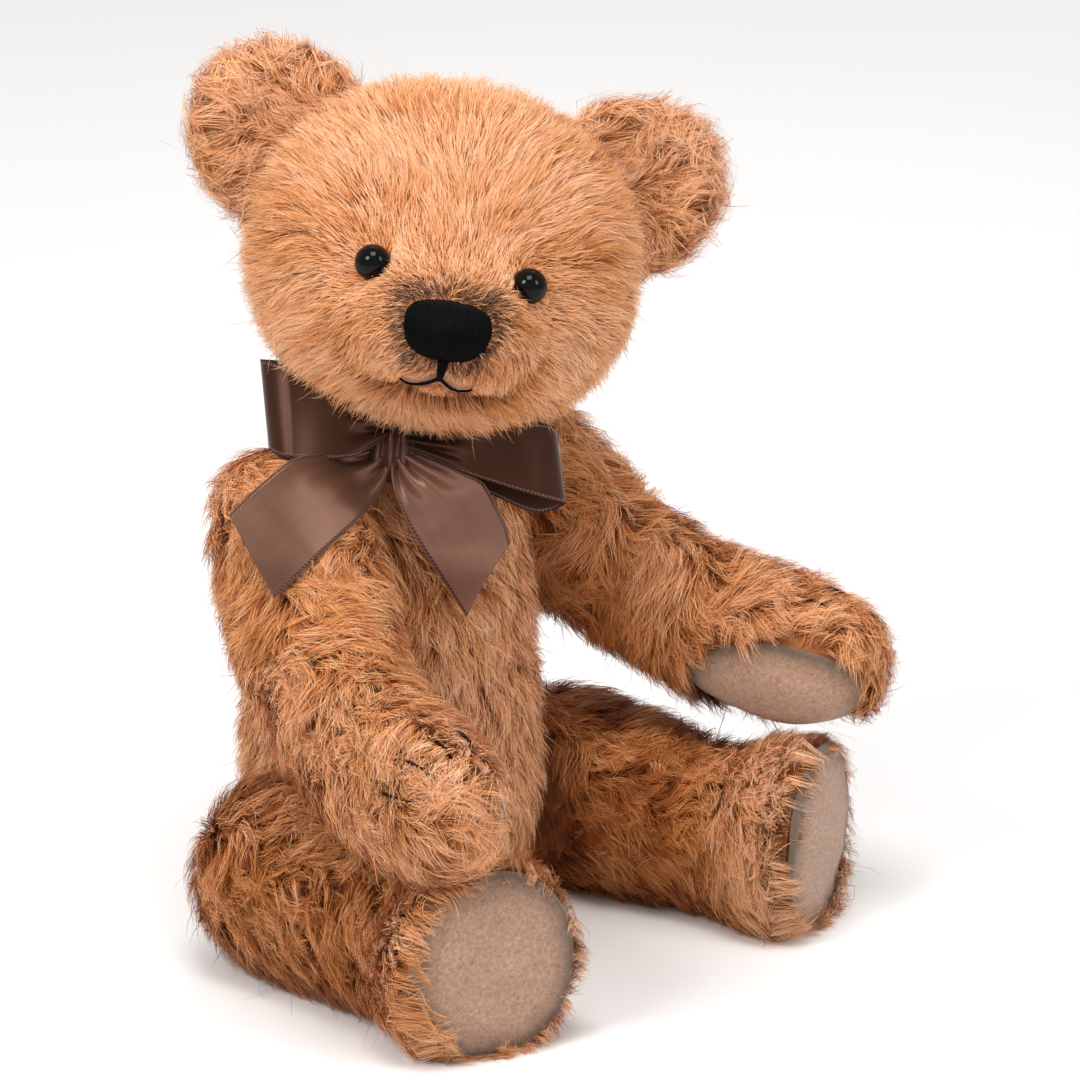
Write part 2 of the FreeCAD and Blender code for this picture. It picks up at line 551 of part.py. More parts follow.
def loop(side, length, roll, depth, open_, low, high):
    """a flattened teardrop band, trimmed to a bow-tie outline; low and high = (distance along, edge) on either side"""
    r, v = plane_frame(roll)
    r = r * side
    c0 = K + r * 4.6 + KF * 0.2
    prof_o, prof_i = [], []
    N = 20
    for i in range(N):
        t = 2 * pi * i / N
        x = length / 2 * (1 - cos(t))
        y = open_ * sin(t) * (sin(t / 2) ** 2) * 1.25
        prof_o.append(V(x, y, 0))
    po = [c0 + r * q.x + KF * (q.y + depth * (q.x / length)) for q in prof_o]
    wo = Part.BSplineCurve(); wo.interpolate(Points=po, PeriodicFlag=True)
    face = Part.Face(Part.Wire([wo.toShape()]))
    inner = []
    for q in prof_o:
        x = 3.2 + (q.x) * (length - 3.2 - 1.1 * RIBBON_T) / length
        y = q.y * (open_ - 1.15 * RIBBON_T) / open_
        inner.append(c0 + r * x + KF * (y + depth * (x / length)))
    wi = Part.BSplineCurve(); wi.interpolate(Points=inner, PeriodicFlag=True)
    fi = Part.Face(Part.Wire([wi.toShape()]))
    half = RIBBON_W / 2 + 1
    so = face.extrude(v * (2 * half)); so.translate(v * -half)
    si = fi.extrude(v * (2 * half + 2)); si.translate(v * (-half - 1))
    band_ = so.cut(si)
    poly = low + high[::-1]
    tr = prism([c0 + r * x + v * y - KF * 40 for x, y in poly], KF * 80)
    return one(band_.common(tr)), v


# the right loop's lower edge rises over the arm's shoulder, and both upper edges stay under the turning head
lp, _ = loop(-1, 37.0, -12.0, -3.0, 8.0, [(-2, -4.5), (3, -3.7), (8, -2.8), (22, -2.8), (28, -3.6), (32, -5.0), (36, -7.0), (40, -9.0)],
             [(-2, 4.5), (4, 5.3), (12, 5.8), (16, 6.3), (20, 7.1), (24, 8.3), (28, 9.9), (32, 11.4), (40, 12.5)])
lp = one(lp.cut(knot).cut(bO))
out("bow_loop_right", lp)
lp, _ = loop(1, 44.0, -12.0, -4.0, 9.0, [(-2, -4.5), (24.2, -12.5), (47, -13.5)], [(-2, 4.5), (24.2, 10.9), (47, 11.5)])
lp = one(lp.cut(knot).cut(bO))
out("bow_loop_left", lp)

CAM_B = V(-0.7087, -0.6382, 0.3007)
CAM_U = V(0.2235, 0.2012, 0.9537)


def tail(d_r, d_u, path, w_end, cut_skew):
    """a tapering strip along a path; path = (distance along, height towards the front)"""
    d = RR * d_r + CAM_U * d_u; d.normalize()
    w = CAM_B.cross(d); w.normalize()
    top = [K + d * s + CAM_B * (h + RIBBON_T / 2) for s, h in path]
    bot = [K + d * s + CAM_B * (h - RIBBON_T / 2) for s, h in path]
    c1 = Part.BSplineCurve(); c1.interpolate(Points=top)
    c2 = Part.BSplineCurve(); c2.interpolate(Points=bot[::-1])
    e = [c1.toShape(), Part.makeLine(top[-1], bot[-1]), c2.toShape(), Part.makeLine(bot[0], top[0])]
    face = Part.Face(Part.Wire(e))
    half = 22.0
    s = face.extrude(w * (2 * half)); s.translate(w * -half)
    a, z = path[0][0], path[-1][0]
    h0, h1 = 4.0, w_end / 2
    poly = [(a - 1, -h0), (a + (z - a) * 0.42, -h1 * 0.94), (z - (cut_skew if cut_skew > 0 else 0), -h1),
            (z + (cut_skew if cut_skew < 0 else 0), h1), (a + (z - a) * 0.42, h1 * 0.94), (a - 1, h0)]
    tr = prism([K + d * x + w * y - CAM_B * 60 for x, y in poly], CAM_B * 140)
    return one(s.common(tr))


t1 = tail(-0.7495, -0.662, [(4.0, 2.2), (12.0, 6.6), (20.0, 16.4), (28.0, 22.2), (36.0, 25.6), (46.0, 27.2), (55.5, 26.6)], 25.0, 5.5)
t2 = tail(0.5019, -0.8649, [(4.0, 2.0), (12.0, 1.6), (22.0, -0.6), (32.0, -3.8), (42.0, -8.0), (49.0, -11.4), (55.5, -15.0)], 24.0, -13.0)
t1 = one(t1.cut(knot).cut(bO))
t2 = one(t2.cut(knot).cut(bO).cut(t1))
out("bow_tail_right", t1)
out("bow_tail_left", t2)
knot = one(knot.cut(bO))
out("bow_knot", knot)

# ---------------------------------------------------------------- write
for name, s in OUT.items():
    v = s.Volume
    bbx = s.optimalBoundingBox(False) if hasattr(s, "optimalBoundingBox") else s.BoundBox
    print("%-24s vol %9.1f solids %d valid %s  x %.1f..%.1f y %.1f..%.1f z %.1f..%.1f" % (
        name, v, len(s.Solids), s.isValid(), bbx.XMin, bbx.XMax, bbx.YMin, bbx.YMax, bbx.ZMin, bbx.ZMax))
    s.exportStep("parts/%s.step" % name)
print(len(OUT), "nodes")
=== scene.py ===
import json
import math
import bpy
import numpy as np
from mathutils import Matrix, Vector
from mathutils.bvhtree import BVHTree

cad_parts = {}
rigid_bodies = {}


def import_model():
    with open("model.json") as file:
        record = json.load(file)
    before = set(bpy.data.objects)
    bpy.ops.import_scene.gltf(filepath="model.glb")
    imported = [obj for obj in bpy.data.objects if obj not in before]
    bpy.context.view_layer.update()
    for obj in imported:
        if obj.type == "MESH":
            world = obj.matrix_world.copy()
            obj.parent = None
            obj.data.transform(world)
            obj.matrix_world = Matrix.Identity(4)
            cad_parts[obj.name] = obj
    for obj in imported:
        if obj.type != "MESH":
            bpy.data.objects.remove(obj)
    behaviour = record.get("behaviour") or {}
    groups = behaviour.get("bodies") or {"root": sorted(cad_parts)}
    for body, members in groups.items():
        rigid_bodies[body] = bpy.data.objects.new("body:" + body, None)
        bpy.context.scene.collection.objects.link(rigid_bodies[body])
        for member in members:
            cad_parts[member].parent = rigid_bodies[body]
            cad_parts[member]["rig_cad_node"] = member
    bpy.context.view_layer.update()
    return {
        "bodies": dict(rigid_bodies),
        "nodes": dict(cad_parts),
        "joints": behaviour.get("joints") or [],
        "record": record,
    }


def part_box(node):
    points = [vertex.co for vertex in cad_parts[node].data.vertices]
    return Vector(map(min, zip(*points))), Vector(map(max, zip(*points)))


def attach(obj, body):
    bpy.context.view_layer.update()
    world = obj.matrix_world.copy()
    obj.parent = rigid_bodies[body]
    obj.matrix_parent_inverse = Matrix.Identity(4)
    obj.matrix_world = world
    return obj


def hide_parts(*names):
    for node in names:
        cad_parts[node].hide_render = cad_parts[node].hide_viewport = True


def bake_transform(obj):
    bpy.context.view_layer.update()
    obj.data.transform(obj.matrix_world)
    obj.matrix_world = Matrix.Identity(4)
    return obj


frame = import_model()
DENSITY = 1.0
scene = bpy.context.scene

# =============================================================================
# camera, floor, light
# =============================================================================
CAM_B = np.array([-0.7087, -0.6382, 0.3007]); CAM_B /= np.linalg.norm(CAM_B)
CAM_R = np.array([0.6691, -0.7431, 0.0])
CAM_U = np.cross(CAM_B, CAM_R)
CAM_T = np.array([9.87, -46.37, 119.74])
PX = 0.285                       # mm for one pixel of a 1080 frame, in the target's plane


def seen(px, py, depth=0.0):
    """point in mm that the camera shows at that place of the frame, that far nearer than the target's plane"""
    k = (2000.0 - depth) / 2000.0
    return CAM_T + CAM_R * ((px - 540) * PX * k) + CAM_U * ((540 - py) * PX * k) + CAM_B * depth


cam_data = bpy.data.cameras.new("camera")
cam_data.sensor_width = 36.0
cam_data.lens = 36.0 * 2000.0 / 307.8
cam_data.clip_start, cam_data.clip_end = 0.05, 50.0
cam = bpy.data.objects.new("camera", cam_data)
scene.collection.objects.link(cam)
m = Matrix.Identity(4)
for i, col in enumerate((CAM_R, CAM_U, CAM_B)):
    for j in range(3):
        m[j][i] = col[j]
for j in range(3):
    m[j][3] = (CAM_T[j] + CAM_B[j] * 2000.0) * 0.001
cam.matrix_world = m
scene.camera = cam

scene.view_settings.view_transform = "Standard"
scene.view_settings.look = "None"
scene.view_settings.exposure = 0.0
scene.view_settings.gamma = 1.0


def srgb(r, g, b):
    out = []
    for c in (r, g, b):
        c /= 255.0
        out.append(c / 12.92 if c <= 0.04045 else ((c + 0.055) / 1.055) ** 2.4)
    return (out[0], out[1], out[2], 1.0)


def area_light(name, at, target, size, size_y, power, colour=(1, 1, 1)):
    d = bpy.data.lights.new(name, "AREA")
    d.shape = "RECTANGLE"
    d.size, d.size_y = size, size_y
    d.energy = power
    d.color = colour
    o = bpy.data.objects.new(name, d)
    scene.collection.objects.link(o)
    o.location = Vector(at)
    o.rotation_mode = "QUATERNION"
    o.rotation_quaternion = (Vector(target) - Vector(at)).to_track_quat("-Z", "Y")
    return o


def lit(az_from_cam, el, dist, size, size_y, power, name, colour=(1, 1, 1)):
    """area light at an azimuth measured from the camera's own, positive to the viewer's right"""
    a = math.radians(-48.0 + az_from_cam)
    e = math.radians(el)
    c = Vector((0.0, -0.03, 0.12))
    at = c + Vector((math.sin(a) * math.cos(e), -math.cos(a) * math.cos(e), math.sin(e))) * dist
    return area_light(name, at, c, size, size_y, power, colour)


lit(4, 72, 1.5, 0.62, 0.62, 11.5, "top_box")
lit(-42, 40, 1.6, 0.5, 0.5, 13.5, "left_box")
lit(58, 32, 1.7, 0.45, 0.6, 6.5, "right_box")
lit(172, 46, 1.8, 1.0, 0.8, 7.0, "back_box")
world = bpy.data.worlds.new("studio")
world.use_nodes = True
bg = world.node_tree.nodes["Background"]
bg.inputs[0].default_value = (1.0, 0.99, 0.98, 1)
bg.inputs[1].default_value = 0.52
scene.world = world

# =============================================================================
# mathematics
# =============================================================================


def unit(v):
    v = np.asarray(v, float)
    return v / np.maximum(np.linalg.norm(v, axis=-1, keepdims=True), 1e-12)


def rot(v, axis, deg):
    k = unit(axis)
    t = np.radians(deg)
    v = np.asarray(v, float)
    return v * np.cos(t) + np.cross(k, v) * np.sin(t) + k * ((v @ k) * (1 - np.cos(t)))[..., None] if v.ndim > 1 else \
        v * np.cos(t) + np.cross(k, v) * np.sin(t) + k * ((v @ k) * (1 - np.cos(t)))


def turn_about(v, k, ang):
    """rows of v turned about the rows of k by ang radians"""
    c, s = np.cos(ang)[:, None], np.sin(ang)[:, None]
    return v * c + np.cross(k, v) * s + k * ((v * k).sum(1)[:, None] * (1 - c))


class Table:
    """monotone cubic through a table's points"""

    def __init__(self, xs, ys):
        self.x, self.y = np.array(xs, float), np.array(ys, float)
        x, y = self.x, self.y
        h = np.diff(x)
        d = np.diff(y) / h
        n = len(x)
        mm = np.zeros(n)
        for i in range(1, n - 1):
            if d[i - 1] * d[i] > 0:
                w1, w2 = 2 * h[i] + h[i - 1], h[i] + 2 * h[i - 1]
                mm[i] = (w1 + w2) / (w1 / d[i - 1] + w2 / d[i])
        if n > 2:
            for k, (h0, h1, d0, d1) in ((0, (h[0], h[1], d[0], d[1])), (n - 1, (h[-1], h[-2], d[-1], d[-2]))):
                v = ((2 * h0 + h1) * d0 - h0 * d1) / (h0 + h1)
                if v * d0 <= 0:
                    v = 0.0
                elif d0 * d1 <= 0 and abs(v) > abs(3 * d0):
                    v = 3 * d0
                mm[k] = v
        else:
            mm[:] = d[0]
        self.h, self.m = h, mm

    def __call__(self, q):
        q = np.clip(np.asarray(q, float), self.x[0], self.x[-1])
        i = np.clip(np.searchsorted(self.x, q, side="right") - 1, 0, len(self.x) - 2)
        h = self.h[i]
        t = (q - self.x[i]) / h
        return ((1 + 2 * t) * (1 - t) ** 2 * self.y[i] + t * (1 - t) ** 2 * h * self.m[i]
                + t * t * (3 - 2 * t) * self.y[i + 1] + t * t * (t - 1) * h * self.m[i + 1])


def waves(seed, scale, n=12):
    """smooth noise over space, about unit variance, from a few sine waves"""
    r = np.random.default_rng(seed)
    k = unit(r.normal(size=(n, 3))) * (2 * np.pi / scale) * r.uniform(0.55, 1.5, (n, 1))
    ph = r.uniform(0, 2 * np.pi, n)
    return lambda P: np.sin(np.asarray(P) @ k.T + ph).sum(-1) / np.sqrt(n / 2)


def smooth(x, a, b):
    t = np.clip((np.asarray(x, float) - a) / (b - a), 0, 1)
    return t * t * (3 - 2 * t)


# =============================================================================
# the stuffed shapes: the same driving tables as the solids, in mm
# =============================================================================
NECK = np.array([0.0, -7.0, 156.0])
NECK_TILT = 8.0
HEAD_C = np.array([0.5, -18.0, 200.5])
FACE_AZ, FACE_PITCH, FACE_ROLL = -43.0, 14.0, 10.0
SHOULDER = {1: np.array([30.0, -3.0, 124.0]), -1: np.array([-30.0, -3.0, 124.0])}
ARM_DOWN = {1: 47.5, -1: 49.5}
HIP = {1: np.array([37.0, -10.0, 29.0]), -1: np.array([-37.0, -10.0, 29.0])}
TORSO = [
    (-6.0, 8.0, 8.0, 8.0, 3.0), (-4.5, 17.0, 16.0, 16.0, 3.0), (0.0, 24.5, 23.5, 23.0, 3.0), (6.0, 31.5, 30.5, 30.0, 3.0), (15.0, 36.5, 35.5, 34.5, 3.0),
    (32.0, 39.5, 39.5, 38.0, 3.0), (55.0, 40.0, 40.0, 39.0, 3.0), (80.0, 38.0, 38.0, 38.0, 2.0), (105.0, 34.5, 34.5, 36.0, 0.0),
    (128.0, 30.0, 30.0, 31.0, -3.0), (145.0, 25.5, 25.5, 25.5, -6.0), (155.0, 20.5, 20.5, 20.5, -7.0), (161.0, 14.0, 14.0, 14.0, -7.5), (164.0, 5.0, 5.0, 5.0, -8.0)]
HEAD = [
    (47.0, 5.0, 5.0, -5.0), (44.0, 20.0, 20.0, -19.0), (36.0, 36.0, 33.0, -32.0), (22.0, 47.0, 43.0, -42.5), (5.0, 53.0, 46.5, -47.0),
    (-12.0, 52.0, 43.0, -46.5), (-24.0, 46.5, 34.0, -44.5), (-32.0, 39.0, 22.0, -42.0), (-38.0, 31.5, 9.5, -40.5), (-46.0, 25.5, -1.5, -39.0),
    (-54.0, 22.0, -6.5, -37.0), (-60.0, 16.0, -10.5, -32.0), (-63.0, 4.0, -19.0, -24.0)]
ARM = [
    (-24.0, 4.0, 4.0, 10.0, 18.0), (-21.5, 12.0, 12.0, 0.0, 26.0), (-11.0, 20.5, 20.5, -5.0, 33.0), (6.0, 23.0, 23.0, -6.0, 35.5),
    (30.0, 22.0, 22.0, -4.0, 36.5), (58.0, 19.5, 21.0, 1.5, 36.5), (84.0, 17.5, 23.0, 2.0, 37.0), (106.0, 16.5, 24.5, 2.0, 37.0),
    (122.0, 14.5, 21.0, 5.0, 35.0), (131.0, 8.5, 13.0, 12.0, 28.0), (133.0, 3.0, 3.5, 17.0, 23.0)]
ARM_BEND = [(-24.0, 0.0), (8.0, 0.0), (105.0, -44.0), (133.0, -46.0)]
LEG = [
    (-27.0, 5.0, 5.0, 12.0, 22.0), (-24.5, 14.0, 14.0, 1.0, 31.0), (-13.0, 24.0, 25.0, -6.0, 40.0), (4.0, 27.0, 28.0, -7.0, 43.0),
    (30.0, 23.0, 26.5, -4.0, 42.0), (54.0, 20.0, 25.5, 1.0, 41.5), (72.0, 21.0, 26.0, 1.0, 44.0), (83.0, 27.0, 28.0, -2.0, 49.0),
    (91.0, 29.6, 28.3, -2.7, 50.7), (98.0, 30.0, 28.5, -3.0, 51.0)]
LEG_TURN = [(-27.0, 0.0), (45.0, 0.0), (86.0, 15.0), (98.0, 16.5)]
SOLE_S, SOLE_R, SOLE_TOP = 92.0, 110.0, 5.3
INSET = 3.0                       # the woven backing lies this far under the pile's outline


def columns(rows):
    xs = [r[0] for r in rows]
    return xs, [Table(xs, [r[i] for r in rows]) for i in range(1, len(rows[0]))]


def ring(c, u, v, a, b, p, n, bend=0.0, bdir=None):
    t = 2 * np.pi * np.arange(n) / n
    ct, st = np.cos(t), np.sin(t)
    x = a * np.abs(ct) ** (2 / p) * np.sign(ct)
    y = b * np.abs(st) ** (2 / p) * np.sign(st)
    q = c + np.outer(x, u) + np.outer(y, v)
    if bend:
        q = q + np.outer(bend * (x / a) ** 2, bdir)
    return q


def even(P):
    """ring points moved to even spacing round the ring"""
    Q = np.vstack([P, P[:1]])
    L = np.concatenate([[0], np.cumsum(np.linalg.norm(np.diff(Q, axis=0), axis=1))])
    t = np.linspace(0, L[-1], len(P), endpoint=False)
    return np.stack([np.interp(t, L, Q[:, k]) for k in range(3)], 1)


def stations(lo, hi, n):
    return lo + (hi - lo) * (0.5 - 0.5 * np.cos(np.pi * np.arange(n + 1) / n))


def torso_grid(d, nu=84, nt=120):
    xs, (fa, ff, fb, fy) = columns(TORSO)
    lo, hi = xs[0], xs[-1]
    R = []
    for z in stations(lo + d, hi - d, nu):
        s = lo + (z - (lo + d)) * (hi - lo) / (hi - lo - 2 * d)
        a, f, b, y = (float(q(s)) for q in (fa, ff, fb, fy))
        a, f, b = [max(q - d, 0.45 * q) for q in (a, f, b)]
        R.append(even(ring(np.array([0, y + (b - f) / 2, z]), np.array([1.0, 0, 0]), np.array([0, 1.0, 0]), a, (f + b) / 2, 2.2, nt)))
    return np.array(R)


def head_axes():
    x, y, z = np.eye(3)
    y2 = rot(y, x, -FACE_PITCH); z2 = rot(z, x, -FACE_PITCH)
    f = -y2
    x2, z2 = rot(x, f, -FACE_ROLL), rot(z2, f, -FACE_ROLL)
    return [rot(q, z, FACE_AZ) for q in (x2, y2, z2)]


HX, HY, HZ = head_axes()
HAX = np.array([HX, HY, HZ])


def hp(x, y, z):
    return HEAD_C + HX * x + HY * y + HZ * z


def hlocal(P):
    return (np.asarray(P) - HEAD_C) @ HAX.T


def head_grid(d, nu=110, nt=150):
    rows = [(-r[0], r[1], r[2], r[3]) for r in HEAD]
    xs, (fa, ft, fb) = columns(rows)
    lo, hi = xs[0], xs[-1]
    R = []
    for s in stations(lo + d, hi - d, nu):
        q = lo + (s - (lo + d)) * (hi - lo) / (hi - lo - 2 * d)
        a, t, b = float(fa(q)), float(ft(q)), float(fb(q))
        h = (t - b) / 2
        a2, h2 = max(a - d, 0.45 * a), max(h - d, 0.45 * h)
        R.append(even(ring(hp(0, -s, (t + b) / 2), HX, HZ, a2, h2, 2.2, nt)))
    return np.array(R)


class Limb:
    def __init__(self, joint, n, down, rows, bend, turn):
        self.J, self.n, self.down = joint, unit(n), down
        self.base = unit(np.cross(self.n, [0, 0, 1.0]))
        if self.base[1] > 0:
            self.base = -self.base
        self.upv = np.cross(self.n, self.base)
        if self.upv[2] < 0:
            self.upv = -self.upv
        self.xs, self.f = columns(rows)
        self.fb = Table([b[0] for b in bend], [b[1] for b in bend])
        self.ft = Table([b[0] for b in turn], [b[1] for b in turn])

    def frame(self, s):
        mm = 60
        k = (np.arange(mm) + 0.5) / mm
        a = np.radians(self.down + self.fb(s * k))
        x, z = (np.cos(a) * s / mm).sum(), -(np.sin(a) * s / mm).sum()
        a = np.radians(self.down + float(self.fb(s)))
        tang = self.base * np.cos(a) - self.upv * np.sin(a)
        up = self.base * np.sin(a) + self.upv * np.cos(a)
        ps = np.radians(float(self.ft(s)))
        w = self.n * np.cos(ps) - tang * np.sin(ps)
        tw = tang * np.cos(ps) + self.n * np.sin(ps)
        return self.J + self.base * x + self.upv * z, tang, up, w, tw

    def mid(self, s):
        hu, hd, wi, wo = [float(f(s)) for f in self.f]
        c, tang, up, w, tw = self.frame(s)
        return c + up * ((hu - hd) / 2) + self.n * ((wi + wo) / 2), tang, up, w, tw, (hu + hd) / 2, (wo - wi) / 2

    def grid(self, d, nu=90, nt=110, top=None):
        lo, hi = self.xs[0], self.xs[-1]
        R = []
        for s in stations(lo + d, (hi - d) if top is None else top, nu):
            q = lo + (s - (lo + d)) * (hi - lo) / (hi - lo - 2 * d)
            hu, hd, wi, wo = [float(f(q)) for f in self.f]
            c, tang, up, w, tw = self.frame(s)
            h, b = (hu + hd) / 2, (wo - wi) / 2
            c = c + up * ((hu - hd) / 2) + self.n * ((wi + wo) / 2)
            R.append(even(ring(c, up, w, max(h - d, 0.45 * h), max(b - d, 0.45 * b), 2.15, nt)))
        return np.array(R)


def side_normal(tilt, back, side):
    t, b = np.radians(tilt), np.radians(back)
    return np.array([side * np.cos(t) * np.cos(b), np.cos(t) * np.sin(b), np.sin(t)])


neck_n = np.array([0, -np.sin(np.radians(NECK_TILT)), np.cos(np.radians(NECK_TILT))])
JOINTS = {"neck": (NECK, neck_n)}
ARMS, LEGS = {}, {}
for sd, nm in ((1, "left"), (-1, "right")):
    JOINTS["shoulder_" + nm] = (SHOULDER[sd], side_normal(13.0, 12.0, sd))
    JOINTS["hip_" + nm] = (HIP[sd], side_normal(-7.0, 5.5, sd))
    ARMS[nm] = Limb(SHOULDER[sd], JOINTS["shoulder_" + nm][1], ARM_DOWN[sd], ARM, ARM_BEND, [(-24.0, 0.0), (133.0, 0.0)])
    LEGS[nm] = Limb(HIP[sd], JOINTS["hip_" + nm][1], 0.0, LEG, [(-27.0, 0.0), (98.0, 0.0)], LEG_TURN)


def press(P, p, n):
    """points past a plane are laid on it"""
    d = (P - p) @ n
    return P - np.clip(d, 0, None)[..., None] * n


class Skin:
    """a stuffed piece's outer surface: a grid of rings with a point at each end"""

    def __init__(self, P, lumps=0.0, seed=1, scale=26.0, keep=None):
        nu, nt = P.shape[:2]
        V = P.reshape(-1, 3)
        V = np.vstack([V, P[0].mean(0), P[-1].mean(0)])
        i = np.arange(nu - 1)[:, None] * nt
        j = np.arange(nt)[None, :]
        k = (j + 1) % nt
        a, b, c, d = i + j, i + k, i + nt + k, i + nt + j
        quads = np.stack([a, b, c, d], -1).reshape(-1, 4)
        s, e = nu * nt, nu * nt + 1
        j = np.arange(nt); k = (j + 1) % nt
        caps = np.concatenate([np.stack([np.full(nt, s), k, j], 1), np.stack([np.full(nt, e), (nu - 1) * nt + j, (nu - 1) * nt + k], 1)])
        # outward winding
        mid = V.mean(0)
        f = quads[len(quads) // 2]
        nn = np.cross(V[f[1]] - V[f[0]], V[f[3]] - V[f[0]])
        row = P[nu // 2].mean(0)
        if nn @ (V[f[0]] - row) < 0:
            quads, caps = quads[:, ::-1], caps[:, ::-1]
        self.V, self.quads, self.caps = V, quads, caps
        if lumps:
            w = np.clip(waves(seed, scale)(V) * lumps * 0.7 + waves(seed + 7, scale * 0.4)(V) * lumps * 0.3 + lumps * 0.6, -0.15, None)
            if keep is not None:
                w = w * keep(V)
            self.V = V + self.normals() * w[:, None]
        self.tree()

    def tris(self):
        q = self.quads
        return np.concatenate([q[:, [0, 1, 2]], q[:, [0, 2, 3]], self.caps])

    def normals(self):
        t = self.tris()
        fn = np.cross(self.V[t[:, 1]] - self.V[t[:, 0]], self.V[t[:, 2]] - self.V[t[:, 0]])
        n = np.zeros_like(self.V)
        for k in range(3):
            np.add.at(n, t[:, k], fn)
        return unit(n)

    def tree(self):
        self.T = self.tris()
        self.N = self.normals()
        self.bvh = BVHTree.FromPolygons(self.V.tolist(), self.T.tolist())

    def nearest(self, Q):
        out, nn = np.empty_like(Q), np.empty_like(Q)
        find = self.bvh.find_nearest
        for i, q in enumerate(Q.tolist()):
            loc, nor, idx, dist = find(q)
            out[i], nn[i] = loc, self.N[self.T[idx]].mean(0)
        return out, unit(nn)

    def hit(self, o, d, far=1e4):
        loc, nor, idx, dist = self.bvh.ray_cast(Vector(o), Vector(d), far)
        return None if loc is None else (np.array(loc), np.array(nor), dist)

    def sample(self, n, rng, weight=None):
        t = self.T
        A = 0.5 * np.linalg.norm(np.cross(self.V[t[:, 1]] - self.V[t[:, 0]], self.V[t[:, 2]] - self.V[t[:, 0]]), axis=1)
        if weight is not None:
            A = A * weight(self.V[t].mean(1), self.N[t].mean(1))
        c = np.cumsum(A)
        pick = np.searchsorted(c, (np.arange(n) + rng.random(n)) / n * c[-1])
        pick = np.clip(pick, 0, len(t) - 1)
        u, v = rng.random(n), rng.random(n)
        over = u + v > 1
        u[over], v[over] = 1 - u[over], 1 - v[over]
        w = 1 - u - v
        P = self.V[t[pick, 0]] * w[:, None] + self.V[t[pick, 1]] * u[:, None] + self.V[t[pick, 2]] * v[:, None]
        N = self.N[t[pick, 0]] * w[:, None] + self.N[t[pick, 1]] * u[:, None] + self.N[t[pick, 2]] * v[:, None]
        return P, unit(N)

    def area(self):
        t = self.T
        return 0.5 * np.linalg.norm(np.cross(self.V[t[:, 1]] - self.V[t[:, 0]], self.V[t[:, 2]] - self.V[t[:, 0]]), axis=1).sum()


# =============================================================================
# meshes and materials
# =============================================================================


def raw_mesh(name, V, faces, mats, index=None, smooth_=True, normals=None):
    """V in mm; faces is a list of (n, k) arrays of vertex numbers"""
    me = bpy.data.meshes.new(name)
    V = np.asarray(V, float) * 0.001
    me.vertices.add(len(V))
    me.vertices.foreach_set("co", V.astype(np.float32).ravel())
    loops = np.concatenate([f.ravel() for f in faces]).astype(np.int32)
    sizes = np.concatenate([np.full(len(f), f.shape[1]) for f in faces]).astype(np.int32)
    starts = np.concatenate([[0], np.cumsum(sizes)[:-1]]).astype(np.int32)
    me.loops.add(len(loops))
    me.loops.foreach_set("vertex_index", loops)
    me.polygons.add(len(sizes))
    me.polygons.foreach_set("loop_start", starts)
    if index is not None:
        me.polygons.foreach_set("material_index", np.asarray(index, np.int32))
    if smooth_:
        me.polygons.foreach_set("use_smooth", np.ones(len(sizes), bool))
    for mt in mats:
        me.materials.append(mt)
    me.update(calc_edges=True)
    if normals is None:
        me.validate()
    else:
        me.normals_split_custom_set_from_vertices(np.asarray(normals, np.float32))
    o = bpy.data.objects.new(name, me)
    scene.collection.objects.link(o)
    return o


def attribute(o, name, values):
    at = o.data.attributes.new(name, "FLOAT", "POINT")
    at.data.foreach_set("value", np.asarray(values, np.float32))


def new_material(name):
    mt = bpy.data.materials.new(name)
    mt.use_nodes = True
    nt = mt.node_tree
    return mt, nt, nt.nodes["Principled BSDF"]


def put(b, **kw):
    names = {"rough": "Roughness", "spec": "Specular IOR Level", "sheen": "Sheen Weight", "sheen_rough": "Sheen Roughness", "metal": "Metallic",
             "coat": "Coat Weight", "coat_rough": "Coat Roughness", "ior": "IOR", "aniso": "Anisotropic", "colour": "Base Color", "sheen_tint": "Sheen Tint",
             "spec_tint": "Specular Tint", "sss": "Subsurface Weight"}
    for k, v in kw.items():
        b.inputs[names[k]].default_value = v


def node(nt, kind, **kw):
    n = nt.nodes.new(kind)
    for k, v in kw.items():
        if k.startswith("i_"):
            n.inputs[k[2:].replace("_", " ")].default_value = v
        else:
            setattr(n, k, v)
    return n


def ramp(nt, stops, link=None):
    r = nt.nodes.new("ShaderNodeValToRGB")
    while len(r.color_ramp.elements) < len(stops):
        r.color_ramp.elements.new(0.5)
    for e, (p, c) in zip(r.color_ramp.elements, stops):
        e.position, e.color = p, c
    if link is not None:
        nt.links.new(link, r.inputs[0])
    return r


def noise_tex(nt, scale, detail=4.0, rough=0.6, distortion=0.0, vec=None):
    n = nt.nodes.new("ShaderNodeTexNoise")
    n.inputs["Scale"].default_value = scale
    n.inputs["Detail"].default_value = detail
    n.inputs["Roughness"].default_value = rough
    n.inputs["Distortion"].default_value = distortion
    if vec is not None:
        nt.links.new(vec, n.inputs["Vector"])
    return n


def mixc(nt, a, b, fac, mode="MIX"):
    mx = nt.nodes.new("ShaderNodeMix")
    mx.data_type = "RGBA"
    mx.blend_type = mode
    for sock, v in ((mx.inputs[0], fac), (mx.inputs[6], a), (mx.inputs[7], b)):
        if isinstance(v, bpy.types.NodeSocket):
            nt.links.new(v, sock)
        else:
            sock.default_value = v
    return mx.outputs[2]


def math_node(nt, op, a, b=0.0, c=0.0, clamp=False):
    n = nt.nodes.new("ShaderNodeMath")
    n.operation, n.use_clamp = op, clamp
    for sock, v in zip(n.inputs, (a, b, c)):
        if isinstance(v, bpy.types.NodeSocket):
            nt.links.new(v, sock)
        else:
            sock.default_value = v
    return n.outputs[0]


